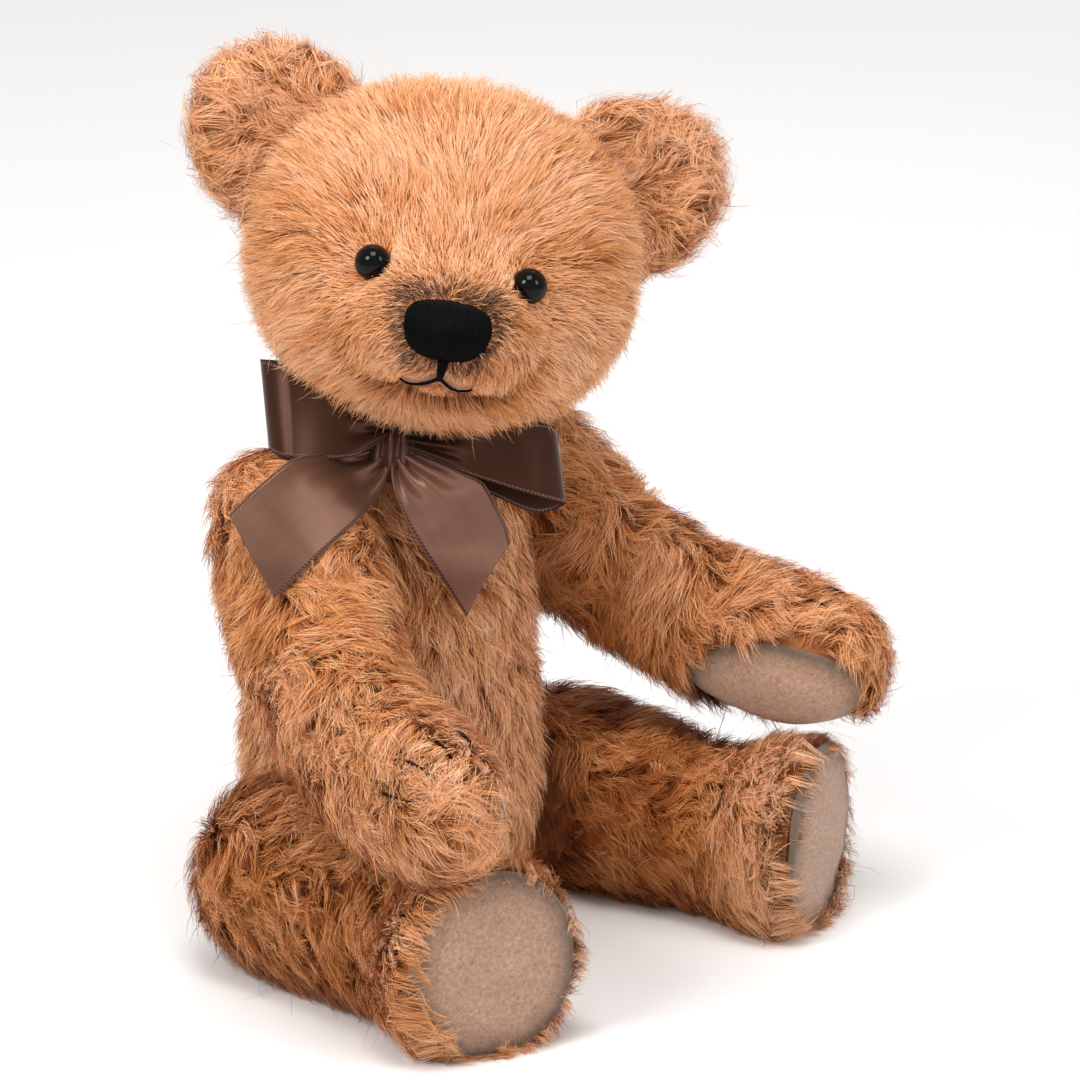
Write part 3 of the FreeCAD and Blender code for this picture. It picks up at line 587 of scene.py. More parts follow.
def bump(nt, height, strength, distance, to):
    b = nt.nodes.new("ShaderNodeBump")
    b.inputs["Strength"].default_value = strength
    b.inputs["Distance"].default_value = distance
    nt.links.new(height, b.inputs["Height"])
    nt.links.new(b.outputs[0], to.inputs["Normal"])
    return b


def objcoord(nt):
    return nt.nodes.new("ShaderNodeTexCoord").outputs["Object"]


def backing_material(name="mohair_backing", dark=srgb(150, 84, 42), light=srgb(192, 122, 74)):
    mt, nt, b = new_material(name)
    vec = objcoord(nt)
    n1 = noise_tex(nt, 160.0, 5.0, 0.65, 0.4, vec)
    n2 = noise_tex(nt, 1400.0, 3.0, 0.6, 0.0, vec)
    c = mixc(nt, dark, light, ramp(nt, [(0.3, (0, 0, 0, 1)), (0.7, (1, 1, 1, 1))], n1.outputs[0]).outputs[0])
    c = mixc(nt, c, srgb(112, 60, 30), math_node(nt, "MULTIPLY", n2.outputs[0], 0.5))
    nt.links.new(c, b.inputs["Base Color"])
    put(b, rough=0.85, spec=0.2, sheen=0.3, sheen_rough=0.5)
    bump(nt, n2.outputs[0], 0.5, 0.0006, b)
    return mt


# fur colours: root, lower, upper, tip, for several kinds of strand
PALETTE = {
    "deep":   [(130, 60, 20), (170, 92, 40), (196, 118, 60), (208, 134, 76)],
    "rust":   [(150, 76, 30), (190, 112, 54), (214, 138, 76), (226, 154, 92)],
    "caramel": [(168, 94, 44), (208, 130, 72), (230, 156, 98), (240, 173, 119)],
    "peach":  [(196, 124, 72), (220, 145, 90), (238, 171, 118), (246, 187, 142)],
    "pale":   [(206, 136, 86), (228, 157, 106), (244, 184, 137), (250, 199, 160)],
    "ink":    [(24, 17, 15), (30, 22, 20), (42, 32, 30), (68, 50, 42)],
    "dusk":   [(104, 64, 44), (134, 88, 66), (150, 104, 80), (166, 120, 96)],
    # painted shade: this deep brown row is laid where shade falls (under the bow, in the ear cups, under the arms, on
    # the legs near the body)
    "umber":  [(100, 44, 13), (134, 66, 24), (158, 84, 36), (172, 98, 48)],
}
KINDS = list(PALETTE)


def fur_materials():
    mats = []
    for kind in KINDS:
        for lv, col in enumerate(PALETTE[kind]):
            mt, nt, b = new_material("mohair_%s_%d" % (kind, lv))
            put(b, colour=srgb(*col), rough=0.60 - 0.03 * lv, spec=0.16, sheen=0.10, sheen_rough=0.4, sheen_tint=(1.0, 0.80, 0.62, 1))
            mats.append(mt)
    return mats


FUR_MATS = fur_materials()
BACKING = backing_material()
BACKING_PALE = backing_material("mohair_backing_pale", srgb(182, 116, 68), srgb(216, 150, 100))

# =============================================================================
# fur: locks of ribbons that follow the surface
# =============================================================================
SEG = 4
FACES_IN_STRAND = 2 * (SEG - 1) + 1
COUNT = {"strands": 0}


def grow(skin, P0, N0, length, height, flow, curl, pull=0.35):
    """guide curves that lean along the flow and follow the surface; returns points and normals"""
    base, nrm = P0.copy(), N0.copy()
    F = flow(base, nrm)
    F = turn_about(F, nrm, curl[0])
    pts, nn = [base - nrm * 0.25], [nrm]
    hp_ = np.zeros(len(P0))
    for j in range(1, SEG + 1):
        w = j / SEG
        h = height * (1 - (1 - w) ** 1.7)
        ds = np.sqrt(np.maximum((length / SEG) ** 2 - (h - hp_) ** 2, (0.3 * length / SEG) ** 2))
        q, n = skin.nearest(base + F * ds[:, None])
        F = F - n * (F * n).sum(1)[:, None]
        F = unit(unit(F) * (1 - pull) + turn_about(flow(q, n), n, curl[0]) * pull)
        F = turn_about(F, n, curl[1] / SEG)
        pts.append(q + n * h[:, None])
        nn.append(n)
        base, nrm, hp_ = q, n, h
    return np.stack(pts, 1), np.stack(nn, 1)


def strands(name, body, G, NN, k, spread, tight, width, kinds, rng, frizz=0.5, ground=None, thin_share=0.15, fly=0.06, covers=(), clear=None):
    """ribbons round each guide; kinds is a (guides, k) array of palette rows"""
    M, S = G.shape[:2]
    T = unit(G[:, 1] - G[:, 0] - NN[:, 0] * ((G[:, 1] - G[:, 0]) * NN[:, 0]).sum(1)[:, None])
    B = np.cross(NN[:, 0], T)
    oa, ob = rng.normal(size=(M, k)) * spread, rng.normal(size=(M, k)) * spread
    off = oa[..., None] * T[:, None] + ob[..., None] * B[:, None]
    w = np.linspace(0, 1, S)
    tg = np.clip(tight[:, None] + rng.normal(size=(M, k)) * 0.12, 0, 0.97)
    keep = 1 - tg[..., None] * (w ** 1.25)
    C = G[:, None] + off[:, :, None] * keep[..., None]
    ls = rng.uniform(0.72, 1.12, (M, k))
    C = C[:, :, :1] + (C - C[:, :, :1]) * (ls[..., None, None])
    # own waves, wider towards the tip
    ph, fr = rng.uniform(0, 2 * np.pi, (M, k, 1)), rng.uniform(0.5, 1.25, (M, k, 1))
    am = rng.gamma(2.0, 0.5, (M, k, 1)) * frizz
    wob = am * (w ** 0.9) * np.sin(2 * np.pi * fr * w + ph)
    wob2 = am * 0.55 * (w ** 0.9) * np.cos(2 * np.pi * fr * w + ph * 1.7)
    C = C + wob[..., None] * B[:, None, None] + wob2[..., None] * NN[:, None, :]
    C = C.reshape(-1, S, 3)
    nn = np.repeat(NN, k, axis=0).reshape(-1, S, 3)
    n = len(C)
    # a few loose hairs stand away from the rest
    loose = np.where(rng.random(n) < fly, rng.gamma(2.0, 0.8, n), 0.0) * np.repeat(np.minimum(1.0, np.linalg.norm(G[:, -1] - G[:, 0], axis=1) / 9.0), k)
    C = C + nn * (loose[:, None] * w[None] ** 1.6)[..., None] + rng.normal(size=(n, 1, 3)) * (loose[:, None] * 0.6 * w[None] ** 1.3)[..., None]
    if ground is not None:
        lift = rng.uniform(0.15, 0.9, n)[:, None]
        C[..., 2] = np.maximum(C[..., 2], lift)
    kd_all = kinds.reshape(-1)
    if covers:
        # no hair lies over the ribbon
        over = np.zeros(n, bool)
        for tree, (lo, hi) in zip(covers, COVER_BOX):
            for j in range(1, S):
                for i in np.nonzero(~over & np.all((C[:, j] > lo) & (C[:, j] < hi), axis=1))[0]:
                    if tree.ray_cast(C[i, j].tolist(), (-nn[i, j]).tolist(), 9.0)[0] is not None:
                        over[i] = True
        C, nn, kd_all = C[~over], nn[~over], kd_all[~over]
        n = len(C)
    if clear is not None:
        over = clear(C)
        C, nn, kd_all = C[~over], nn[~over], kd_all[~over]
        n = len(C)
    D = np.gradient(C, axis=1)
    side = np.cross(D, nn + rng.normal(size=(n, 1, 3)) * 0.55)
    side = unit(side)
    hw = width * rng.uniform(0.7, 1.3, n)
    fine = rng.random(n) < thin_share
    hw[fine] *= 0.5
    prof = np.array([0.75, 1.0, 0.92, 0.68, 0.0])[:S] * 0.5
    E = side * (hw[:, None] * prof[None, :])[..., None]
    L, R = C - E, C + E
    V = np.empty((n, 2 * (S - 1) + 1, 3))
    V[:, 0:2 * (S - 1):2] = L[:, :-1]
    V[:, 1:2 * (S - 1):2] = R[:, :-1]
    V[:, -1] = C[:, -1]
    nv = V.shape[1]
    # shaded mostly as the pile's surface, a little as single hairs
    own = unit(np.cross(side, D))
    soft_n = unit(nn * 0.80 + own * 0.20 + rng.normal(size=(n, 1, 3)) * 0.08)
    NV = np.empty_like(V)
    NV[:, 0:2 * (S - 1):2] = soft_n[:, :-1]
    NV[:, 1:2 * (S - 1):2] = soft_n[:, :-1]
    NV[:, -1] = soft_n[:, -1]
    b0 = (np.arange(n) * nv)[:, None]
    quads = np.concatenate([b0 + np.array([2 * j, 2 * j + 1, 2 * j + 3, 2 * j + 2])[None] for j in range(S - 2)], 1).reshape(-1, 4)
    tri = b0 + np.array([nv - 3, nv - 2, nv - 1])[None]
    kd = kd_all
    qi = (kd[:, None] * 4 + np.arange(S - 2)[None]).reshape(-1)
    ti = kd * 4 + S - 2
    # split so that no piece is very large
    most = 26000
    parts_ = max(1, int(np.ceil(n / most)))
    out = []
    cuts = np.linspace(0, n, parts_ + 1).astype(int)
    for c in range(parts_):
        a, b = cuts[c], cuts[c + 1]
        nm = name if parts_ == 1 else "%s_%d" % (name, c + 1)
        o = raw_mesh(nm, V[a:b].reshape(-1, 3), [quads[a * (S - 2):b * (S - 2)] - a * nv, tri[a:b] - a * nv], FUR_MATS,
                     np.concatenate([qi[a * (S - 2):b * (S - 2)], ti[a:b]]), normals=NV[a:b].reshape(-1, 3))
        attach(o, body)
        out.append(o)
    COUNT["strands"] += n
    return out


def pick_kinds(P, k, rng, bias, seed, spread=0.9, ink=None, dusk=None, dark=0.0):
    """palette rows by slow patches, the bias from 0 (deep) to 4 (pale); dark is the share of locks in painted shade
    (row 7)
    """
    v = bias + waves(seed, 30.0)(P) * 0.45 + waves(seed + 3, 9.0)(P) * 0.6
    v = v[:, None] + rng.normal(size=(len(P), k)) * spread
    kd = np.clip(np.rint(v), 0, 4).astype(int)
    # painted shade: where dark is high, whole locks take the painted-shade row, in slow patches
    patch = smooth(waves(seed + 11, 14.0)(P), -1.2, 1.4) * 1.6
    pick = rng.random((len(P), 1)) * 0.7 + rng.random(kd.shape) * 0.3        # whole locks, with a few stray hairs
    share = np.clip(np.broadcast_to(dark, (len(P),)) * patch, 0, 0.95)[:, None]
    kd = np.where(pick < np.where(share < 0.214, np.sqrt(0.42 * share), 0.15 + 0.7 * share), 7, kd)
    if dusk is not None:
        kd = np.where(rng.random(kd.shape) < dusk[:, None], 6, kd)
    if ink is not None:
        kd = np.where(rng.random(kd.shape) < ink[:, None], 5, kd)
    return kd


SKINS = {}


def room(P, N, others):
    """free distance along the normals before another piece's surface"""
    out = np.full(len(P), 1e3)
    for o in others:
        cast = o.bvh.ray_cast
        for i, (p, n) in enumerate(zip((P + N * 0.2).tolist(), N.tolist())):
            loc, nor, idx, dist = cast(p, n, 26.0)
            if loc is not None and dist < out[i]:
                out[i] = dist
    return out


# =============================================================================
# skins
# =============================================================================
def flats(names):
    """weight that keeps lumps off the joint flats"""
    def f(V):
        w = np.ones(len(V))
        for nme in names:
            p, n = JOINTS[nme]
            d = np.linalg.norm(V - p, axis=1)
            w = np.minimum(w, smooth(d, 18, 34))
        return w
    return f


PADS = {}
for nm in ("left", "right"):
    c, tang, up, w_, tw, h_, b_ = ARMS[nm].mid(102.0)
    mdir = unit(JOINTS["shoulder_" + nm][1] * -0.93 - up * 0.37 + tang * 0.20)
    lon = unit(tang - mdir * (tang @ mdir))
    lat = np.cross(mdir, lon)
    PADS[nm] = (c + lon * 1.6, mdir, lon, lat)
PAD_A, PAD_B = 29.8, 17.0


def plump(nm, P):
    """the stuffing rounds the paw out under its felt"""
    c, mdir, lon, lat = PADS[nm]
    v = P - c
    r = np.hypot((v @ lon) / PAD_A, (v @ lat) / PAD_B)
    g = (1 - smooth(r, 0.35, 1.45)) * smooth(v @ mdir, -6.0, 8.0)
    return P + (g * 4.2)[..., None] * mdir


T = torso_grid(INSET)
for key, (p, n) in JOINTS.items():
    T = press(T, p - n * 0.5, n)
T = press(T, np.array([0, 0, 0.8]), np.array([0, 0, -1.0]))
tors = Skin(T, 0.5, 11, 30.0, lambda V: flats(JOINTS)(V) * smooth(V[:, 2], 2, 14))
SKINS["torso"] = tors
H = press(head_grid(INSET), NECK + neck_n * 0.9, -neck_n)
SKINS["head"] = Skin(H, 0.35, 21, 34.0, flats(["neck"]))
for sd, nm in ((1, "left"), (-1, "right")):
    p, n = JOINTS["shoulder_" + nm]
    A = press(plump(nm, ARMS[nm].grid(INSET)), p + n * 0.9, -n)
    SKINS["arm_" + nm] = Skin(A, 0.55, 31 + sd, 24.0, lambda V, nm=nm: flats(["shoulder_" + nm])(V) * smooth(
        np.hypot((V - PADS[nm][0]) @ PADS[nm][2] / PAD_A, (V - PADS[nm][0]) @ PADS[nm][3] / PAD_B) + 3.0 * ((V - PADS[nm][0]) @ PADS[nm][1] < 0), 1.05, 1.35))
    p, n = JOINTS["hip_" + nm]
    Lg = press(LEGS[nm].grid(INSET, top=SOLE_S - 0.4), p + n * 0.9, -n)
    Lg = press(Lg, np.array([0, 0, 0.7]), np.array([0, 0, -1.0]))
    SKINS["leg_" + nm] = Skin(Lg, 0.5, 41 + sd, 26.0, lambda V, nm=nm: flats(["hip_" + nm])(V) * smooth(V[:, 2], 1, 8))

# ears: cupped half rounds
EARS = {}
for sd, nm in ((1, "left"), (-1, "right")):
    lean = np.radians(52.0)
    e_up = HX * (sd * np.sin(lean)) + HZ * np.cos(lean)
    e_w = HX * (sd * np.cos(lean)) - HZ * np.sin(lean)
    e_n = -HY
    base = hp(sd * 45.0, 8.0, 23.0)
    rows = [(-10.0, 21.0, 5.5), (0.0, 22.5, 5.3), (9.0, 22.5, 5.0), (17.0, 19.5, 4.6), (23.0, 14.5, 4.0), (26.5, 8.0, 3.2), (28.0, 2.5, 1.5)]
    xs, (fw, ft_) = columns(rows)
    R = []
    for s in stations(-8.0, 26.6, 44):
        q = s * 28.0 / 26.6 if s > 0 else s
        a, t = float(fw(q)) - 1.8, float(ft_(q)) * 0.42
        cup = 5.5 * (a / 22.5) ** 2
        R.append(even(ring(base + e_up * s + e_n * (-3.0 - 0.06 * s + 0.004 * s * s), e_w, e_n, max(a, 1.0), max(t, 0.6), 2.3, 84, cup, e_n)))
    EARS[nm] = (base, e_up, e_w, e_n)
    SKINS["ear_" + nm] = Skin(np.array(R), 0.3, 51 + sd, 18.0)

BODY = {"torso": "torso", "head": "head", "ear_left": "head", "ear_right": "head", "arm_left": "left_arm", "arm_right": "right_arm",
        "leg_left": "left_leg", "leg_right": "right_leg"}
real = list(frame["bodies"])
NODE = {"torso": "torso_skin", "head": "head_skin", "ear_left": "ear_left", "ear_right": "ear_right", "arm_left": "arm_left_skin",
        "arm_right": "arm_right_skin", "leg_left": "leg_left_skin", "leg_right": "leg_right_skin"}
for key, sk in SKINS.items():
    o = raw_mesh("backing_" + key, sk.V, [sk.quads, sk.caps], [BACKING_PALE if key == "head" or key.startswith("ear") else BACKING])
    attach(o, BODY[key])
    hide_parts(NODE[key])


# =============================================================================
# small parts: tubes, twisted threads, sheets with thickness
# =============================================================================


class Bag:
    """several closed shapes gathered into one mesh"""

    def __init__(self):
        self.V, self.F, self.n, self.A = [], [], 0, {}

    def add(self, V, faces, **values):
        self.V.append(V)
        self.F += [f + self.n for f in faces]
        self.n += len(V)
        for k, v in values.items():
            self.A.setdefault(k, []).append(np.broadcast_to(v, (len(V),)))

    def make(self, name, mats, index=None):
        o = raw_mesh(name, np.vstack(self.V), self.F, mats, index)
        for k, v in self.A.items():
            attribute(o, k, np.concatenate(v))
        return o


def transport(P):
    D = unit(np.gradient(P, axis=0))
    a = unit(np.cross(D[0], [0.31, 0.52, 0.79]))
    A = [a]
    for i in range(1, len(P)):
        A.append(unit(A[-1] - D[i] * (A[-1] @ D[i])))
    A = np.array(A)
    return D, A, np.cross(D, A)


def tube(P, r, sides=8):
    P = np.asarray(P, float)
    n = len(P)
    r = np.broadcast_to(np.asarray(r, float), (n,))
    D, A, B = transport(P)
    t = 2 * np.pi * np.arange(sides) / sides
    V = P[:, None] + (A[:, None] * np.cos(t)[None, :, None] + B[:, None] * np.sin(t)[None, :, None]) * r[:, None, None]
    V = np.vstack([V.reshape(-1, 3), P[0] - D[0] * r[0] * 0.5, P[-1] + D[-1] * r[-1] * 0.5])
    i = np.arange(n - 1)[:, None] * sides
    j = np.arange(sides)[None]
    k = (j + 1) % sides
    quads = np.stack([i + j, i + k, i + sides + k, i + sides + j], -1).reshape(-1, 4)
    j = np.arange(sides); k = (j + 1) % sides
    caps = np.concatenate([np.stack([np.full(sides, n * sides), k, j], 1), np.stack([np.full(sides, n * sides + 1), (n - 1) * sides + j, (n - 1) * sides + k], 1)])
    return V, [quads, caps]


def resample(P, step):
    P = np.asarray(P, float)
    L = np.concatenate([[0], np.cumsum(np.linalg.norm(np.diff(P, axis=0), axis=1))])
    n = max(3, int(L[-1] / step) + 1)
    t = np.linspace(0, L[-1], n)
    return np.stack([Table(L, P[:, k])(t) for k in range(3)], 1), t


def twisted(bag, P, r, plies=2, pitch=1.6, step=0.14, sides=6, taper=None):
    """a thread of several plies laid along the points"""
    Q, t = resample(P, step)
    D, A, B = transport(Q)
    rr = np.full(len(Q), r) if taper is None else r * taper(t / t[-1])
    for j in range(plies):
        ph = 2 * np.pi * (t / pitch + j / plies)
        C = Q + (A * np.cos(ph)[:, None] + B * np.sin(ph)[:, None]) * (rr * 0.48)[:, None]
        V, F = tube(C, rr * 0.58, sides)
        bag.add(V, F)


def grid_normals(P):
    return unit(np.cross(np.gradient(P, axis=0), np.gradient(P, axis=1)))


def thick(P, t, bag, **values):
    """a closed sheet round the grid of points"""
    nu, nv = P.shape[:2]
    N = grid_normals(P)
    V = np.vstack([(P + N * t / 2).reshape(-1, 3), (P - N * t / 2).reshape(-1, 3)])
    i = np.arange(nu - 1)[:, None] * nv
    j = np.arange(nv - 1)[None]
    q = np.stack([i + j, i + nv + j, i + nv + j + 1, i + j + 1], -1).reshape(-1, 4)
    m = nu * nv
    rim = np.concatenate([np.arange(nv - 1), (np.arange(nu - 1)) * nv + nv - 1, (nu - 1) * nv + np.arange(nv - 1, 0, -1), np.arange(nu - 1, 0, -1) * nv])
    nxt = np.roll(rim, -1)
    side = np.stack([rim, nxt, nxt + m, rim + m], 1)
    bag.add(V, [q, q[:, ::-1] + m, side], **{k: np.concatenate([np.ravel(v), np.ravel(v)]) for k, v in values.items()})


def strip_tree(P):
    nu, nv = P.shape[:2]
    i = np.arange(nu - 1)[:, None] * nv
    j = np.arange(nv - 1)[None]
    q = np.stack([i + j, i + nv + j, i + nv + j + 1, i + j + 1], -1).reshape(-1, 4)
    return BVHTree.FromPolygons(P.reshape(-1, 3).tolist(), q.tolist())


def attr_node(nt, name):
    a = nt.nodes.new("ShaderNodeAttribute")
    a.attribute_name = name
    return a.outputs["Fac"]


def combine(nt, x, y, z=0.0):
    c = nt.nodes.new("ShaderNodeCombineXYZ")
    for sock, v in zip(c.inputs, (x, y, z)):
        if isinstance(v, bpy.types.NodeSocket):
            nt.links.new(v, sock)
        else:
            sock.default_value = v
    return c.outputs[0]


def satin_material(name, g, spec=0.50):
    """satin; g (red, green, blue) lightens or darkens the weave, to paint sheen or shade into lit and shaded copies"""
    mt, nt, b = new_material(name)

    def tone(r_, g_, b_):
        return srgb(min(r_ * g[0], 255), min(g_ * g[1], 255), min(b_ * g[2], 255))
    u, v = attr_node(nt, "along"), attr_node(nt, "across")
    warp = noise_tex(nt, 1.0, 3.0, 0.6, 0.0, combine(nt, math_node(nt, "MULTIPLY", u, 0.05), math_node(nt, "MULTIPLY", v, 5.0), 0.0))
    slow = noise_tex(nt, 1.0, 2.0, 0.5, 0.0, combine(nt, math_node(nt, "MULTIPLY", u, 0.09), math_node(nt, "MULTIPLY", v, 0.12), 3.0))
    weft = math_node(nt, "SINE", math_node(nt, "MULTIPLY", u, 2 * math.pi / 0.42))
    c = mixc(nt, tone(80, 53, 44), tone(99, 68, 57), warp.outputs[0])
    c = mixc(nt, c, tone(72, 46, 38), math_node(nt, "MULTIPLY", slow.outputs[0], 0.5))
    # stitched selvedge: a darker gutter with slanted stitches
    edge = math_node(nt, "GREATER_THAN", math_node(nt, "ABSOLUTE", v), 0.925)
    stitch = math_node(nt, "SINE", math_node(nt, "ADD", math_node(nt, "MULTIPLY", u, 2 * math.pi / 1.05), math_node(nt, "MULTIPLY", math_node(nt, "ABSOLUTE", v), 40.0)))
    sc = mixc(nt, srgb(58, 36, 30), srgb(120, 86, 74), math_node(nt, "ADD", math_node(nt, "MULTIPLY", stitch, 0.5), 0.5, clamp=True))
    c = mixc(nt, c, sc, edge)
    nt.links.new(c, b.inputs["Base Color"])
    put(b, rough=0.36, spec=spec, metal=0.50, aniso=0.45, sheen=0.06, sheen_rough=0.4)
    h = math_node(nt, "ADD", math_node(nt, "MULTIPLY", warp.outputs[0], 0.7), math_node(nt, "MULTIPLY", weft, 0.10))
    h = math_node(nt, "ADD", h, math_node(nt, "MULTIPLY", math_node(nt, "MULTIPLY", stitch, edge), 0.8))
    bump(nt, h, 0.16, 0.00012, b)
    return mt


def thread_material(name, dark, light, rough):
    mt, nt, b = new_material(name)
    vec = objcoord(nt)
    n1 = noise_tex(nt, 900.0, 4.0, 0.6, 0.2, vec)
    n2 = noise_tex(nt, 120.0, 2.0, 0.5, 0.0, vec)
    c = mixc(nt, dark, light, math_node(nt, "MULTIPLY", n1.outputs[0], n2.outputs[0]))
    nt.links.new(c, b.inputs["Base Color"])
    put(b, rough=rough, spec=0.06, sheen=0.0, sheen_rough=0.3)
    bump(nt, n1.outputs[0], 0.35, 0.00008, b)
    return mt


def felt_material():
    mt, nt, b = new_material("wool_felt")
    vec = objcoord(nt)
    rim = attr_node(nt, "rim")
    n1 = noise_tex(nt, 900.0, 6.0, 0.75, 0.6, vec)
    n2 = noise_tex(nt, 90.0, 4.0, 0.6, 0.3, vec)
    n3 = noise_tex(nt, 2600.0, 3.0, 0.7, 1.2, vec)
    c = mixc(nt, srgb(148, 112, 90), srgb(206, 168, 142), ramp(nt, [(0.34, (0, 0, 0, 1)), (0.64, (1, 1, 1, 1))], n1.outputs[0]).outputs[0])
    c = mixc(nt, c, srgb(146, 108, 84), math_node(nt, "MULTIPLY", n2.outputs[0], 0.42))
    c = mixc(nt, c, srgb(128, 100, 80), ramp(nt, [(0.60, (0, 0, 0, 1)), (0.72, (0.55, 0.55, 0.55, 1))], n3.outputs[0]).outputs[0])
    wob = math_node(nt, "ADD", rim, math_node(nt, "MULTIPLY", math_node(nt, "SUBTRACT", n2.outputs[0], 0.5), 0.10))
    shade = ramp(nt, [(0.66, (0, 0, 0, 1)), (0.84, (0.34, 0.34, 0.34, 1)), (0.97, (0.84, 0.84, 0.84, 1))], wob)
    c = mixc(nt, c, srgb(88, 74, 60), shade.outputs[0])
    nt.links.new(c, b.inputs["Base Color"])
    put(b, rough=0.92, spec=0.15, sheen=0.35, sheen_rough=0.5)
    h = math_node(nt, "ADD", n1.outputs[0], math_node(nt, "MULTIPLY", n3.outputs[0], 0.6))
    bump(nt, h, 0.75, 0.00045, b)
    return mt


def glass_material():
    mt, nt, b = new_material("black_glass")
    n1 = noise_tex(nt, 30.0, 2.0, 0.5, 0.0, objcoord(nt))
    nt.links.new(mixc(nt, (0.0012, 0.0011, 0.0013, 1), (0.003, 0.0028, 0.003, 1), n1.outputs[0]), b.inputs["Base Color"])
    put(b, rough=0.05, spec=0.20, coat=0.0, ior=1.45)
    return mt


# lit and shaded copies of one satin: painted shade darkens and reddens the loops, painted sheen lightens the two tails
SATIN, SATIN_PAINTED_SHADE = satin_material("satin_ribbon", (1.0, 0.92, 0.88)), satin_material("satin_ribbon_folded", (0.74, 0.57, 0.37), 0.34)
SATIN_PAINTED_SHEEN_MORE, SATIN_PAINTED_SHEEN = satin_material("satin_ribbon_flat", (1.50, 1.58, 1.56)), satin_material("satin_ribbon_pale", (1.24, 1.26, 1.16))
THREAD = thread_material("black_silk_thread", srgb(2, 2, 3), srgb(8, 7, 11), 0.55)
CLAW_THREAD = thread_material("dark_brown_thread", srgb(22, 14, 10), srgb(60, 42, 32), 0.5)
FELT = felt_material()
GLASS = glass_material()

# =============================================================================
# bow of satin ribbon
# =============================================================================
AZ = math.radians(-48.0)
RR = np.array([math.cos(AZ), math.sin(AZ), 0.0])
KF = np.array([math.sin(AZ), -math.cos(AZ), 0.0])
KNOT = np.array([0, -7.0, 0]) + KF * 28.6 - RR * 6.0 + np.array([0, 0, 149.5])
KPX = (393.0, 450.0)
COVERS = []                       # ribbon surfaces that press the pile down
COVER_BOX = []


def offset(px, py):
    """mm to the right and up from the knot"""
    return (px - KPX[0]) * PX * 0.991, (KPX[1] - py) * PX * 0.991


def ribbon_piece(name, nd, P):
    """P is a grid: rows along the ribbon, columns across it"""
    nu, nv = P.shape[:2]
    L = np.concatenate([[0], np.cumsum(np.linalg.norm(np.diff(P[:, nv // 2], axis=0), axis=1))])
    u = np.repeat(L[:, None], nv, 1)
    v = np.repeat(np.linspace(-1, 1, nv)[None], nu, 0)
    bag = Bag()
    thick(P, 0.42, bag, along=u, across=v)
    # the loops take the painted-shade copy, each tail a painted-sheen copy, the rest the plain satin
    satin = SATIN_PAINTED_SHADE if "loop" in name else (SATIN_PAINTED_SHEEN_MORE if name == "bow_left_tail" else (SATIN_PAINTED_SHEEN if name == "bow_right_tail" else SATIN))
    o = bag.make(name, [satin])
    hem = Bag()
    for col in (0, -1):
        twisted(hem, P[:, col], 0.30, 2, 1.25, 0.16, 6)
    n_ = hem.n
    e = raw_mesh(name + "_selvedge", np.vstack(hem.V), hem.F, [satin])
    attribute(e, "along", np.zeros(n_))
    attribute(e, "across", np.full(n_, 0.5))
    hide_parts(nd)
    COVERS.append(strip_tree(P))
    COVER_BOX.append((P.reshape(-1, 3).min(0) - 5.0, P.reshape(-1, 3).max(0) + 5.0))
    print(name, "centre length", round(float(L[-1]), 1))
    return o, e


def edges_to_grid(along, left, right, height, nv, extra):
    """a ribbon between two edge curves given beside a straight direction"""
    s = along
    a, b = left(s), right(s)
    x = np.linspace(0, 1, nv)[None]
    X = a[:, None] * (1 - x) + b[:, None] * x
    S = np.repeat(s[:, None], nv, 1)
    return S, X, height(S) + extra(S, X, 2 * x - 1)


def tail_grid(d_r, d_u, left, right, ends, path, extra, nv=30, nu=90):
    d = unit(RR * d_r + CAM_U * d_u)
    w = np.cross(CAM_B, d)
    fl, fr = Table(*zip(*left)), Table(*zip(*right))
    hz = Table(*zip(*path))
    t = np.linspace(0, 1, nu)[:, None]
    x = np.linspace(0, 1, nv)[None]
    s1 = ends[0] * (1 - x) + ends[1] * x                   # the slanting cut
    S = 3.2 + (s1 - 3.2) * t
    X = fl(S) * (1 - x) + fr(S) * x
    H = hz(S) + extra(S, 2 * x - 1 + 0 * S)
    return KNOT + d * S[..., None] + w * X[..., None] + CAM_B * H[..., None]


def pleats(S, x, reach, amount, turns, ph):
    return amount * (1 - smooth(S, 3, reach)) * np.cos(np.pi * turns * x + ph)


TAIL_R = tail_grid(-0.7495, -0.662,
                   [(3.2, -3.0), (8.0, -6.0), (15.0, -11.5), (23.8, -16.0), (35.5, -16.2), (46.0, -15.5), (56.0, -15.0)],
                   [(3.2, 3.0), (5.4, 4.7), (10.7, 6.8), (19.3, 8.6), (34.9, 9.0), (51.7, 9.9), (57.0, 10.0)],
                   (45.9, 51.7),
                   [(3.2, 2.0), (12.0, 6.6), (20.0, 16.4), (28.0, 22.2), (36.0, 25.6), (46.0, 27.2), (55.5, 26.6)],
                   lambda S, x: pleats(S, x, 24, 1.3, 2.3, 0.6) + 1.1 * np.sin(S * 0.13 + x * 0.9 + 0.4) * smooth(S, 10, 24) - 0.9 * x * x)
TAIL_L = tail_grid(0.5019, -0.8649,
                   [(3.2, -1.6), (10.0, -4.8), (23.0, -6.4), (36.6, -6.0), (51.4, -5.4), (58.0, -5.0)],
                   [(3.2, 3.6), (7.8, 7.6), (15.0, 13.4), (22.3, 17.8), (34.0, 17.2), (39.7, 15.6), (50.0, 12.0)],
                   (51.4, 39.7),
                   [(3.2, 2.6), (12.0, 2.6), (22.0, 1.4), (32.0, -1.2), (42.0, -5.0), (49.0, -8.4), (55.5, -12.0)],
                   lambda S, x: pleats(S, x, 22, 1.5, 2.6, 2.1) + 1.5 * np.sin(S * 0.15 - x * 1.1 + 2.2) * smooth(S, 8, 22) + 0.8 * x)


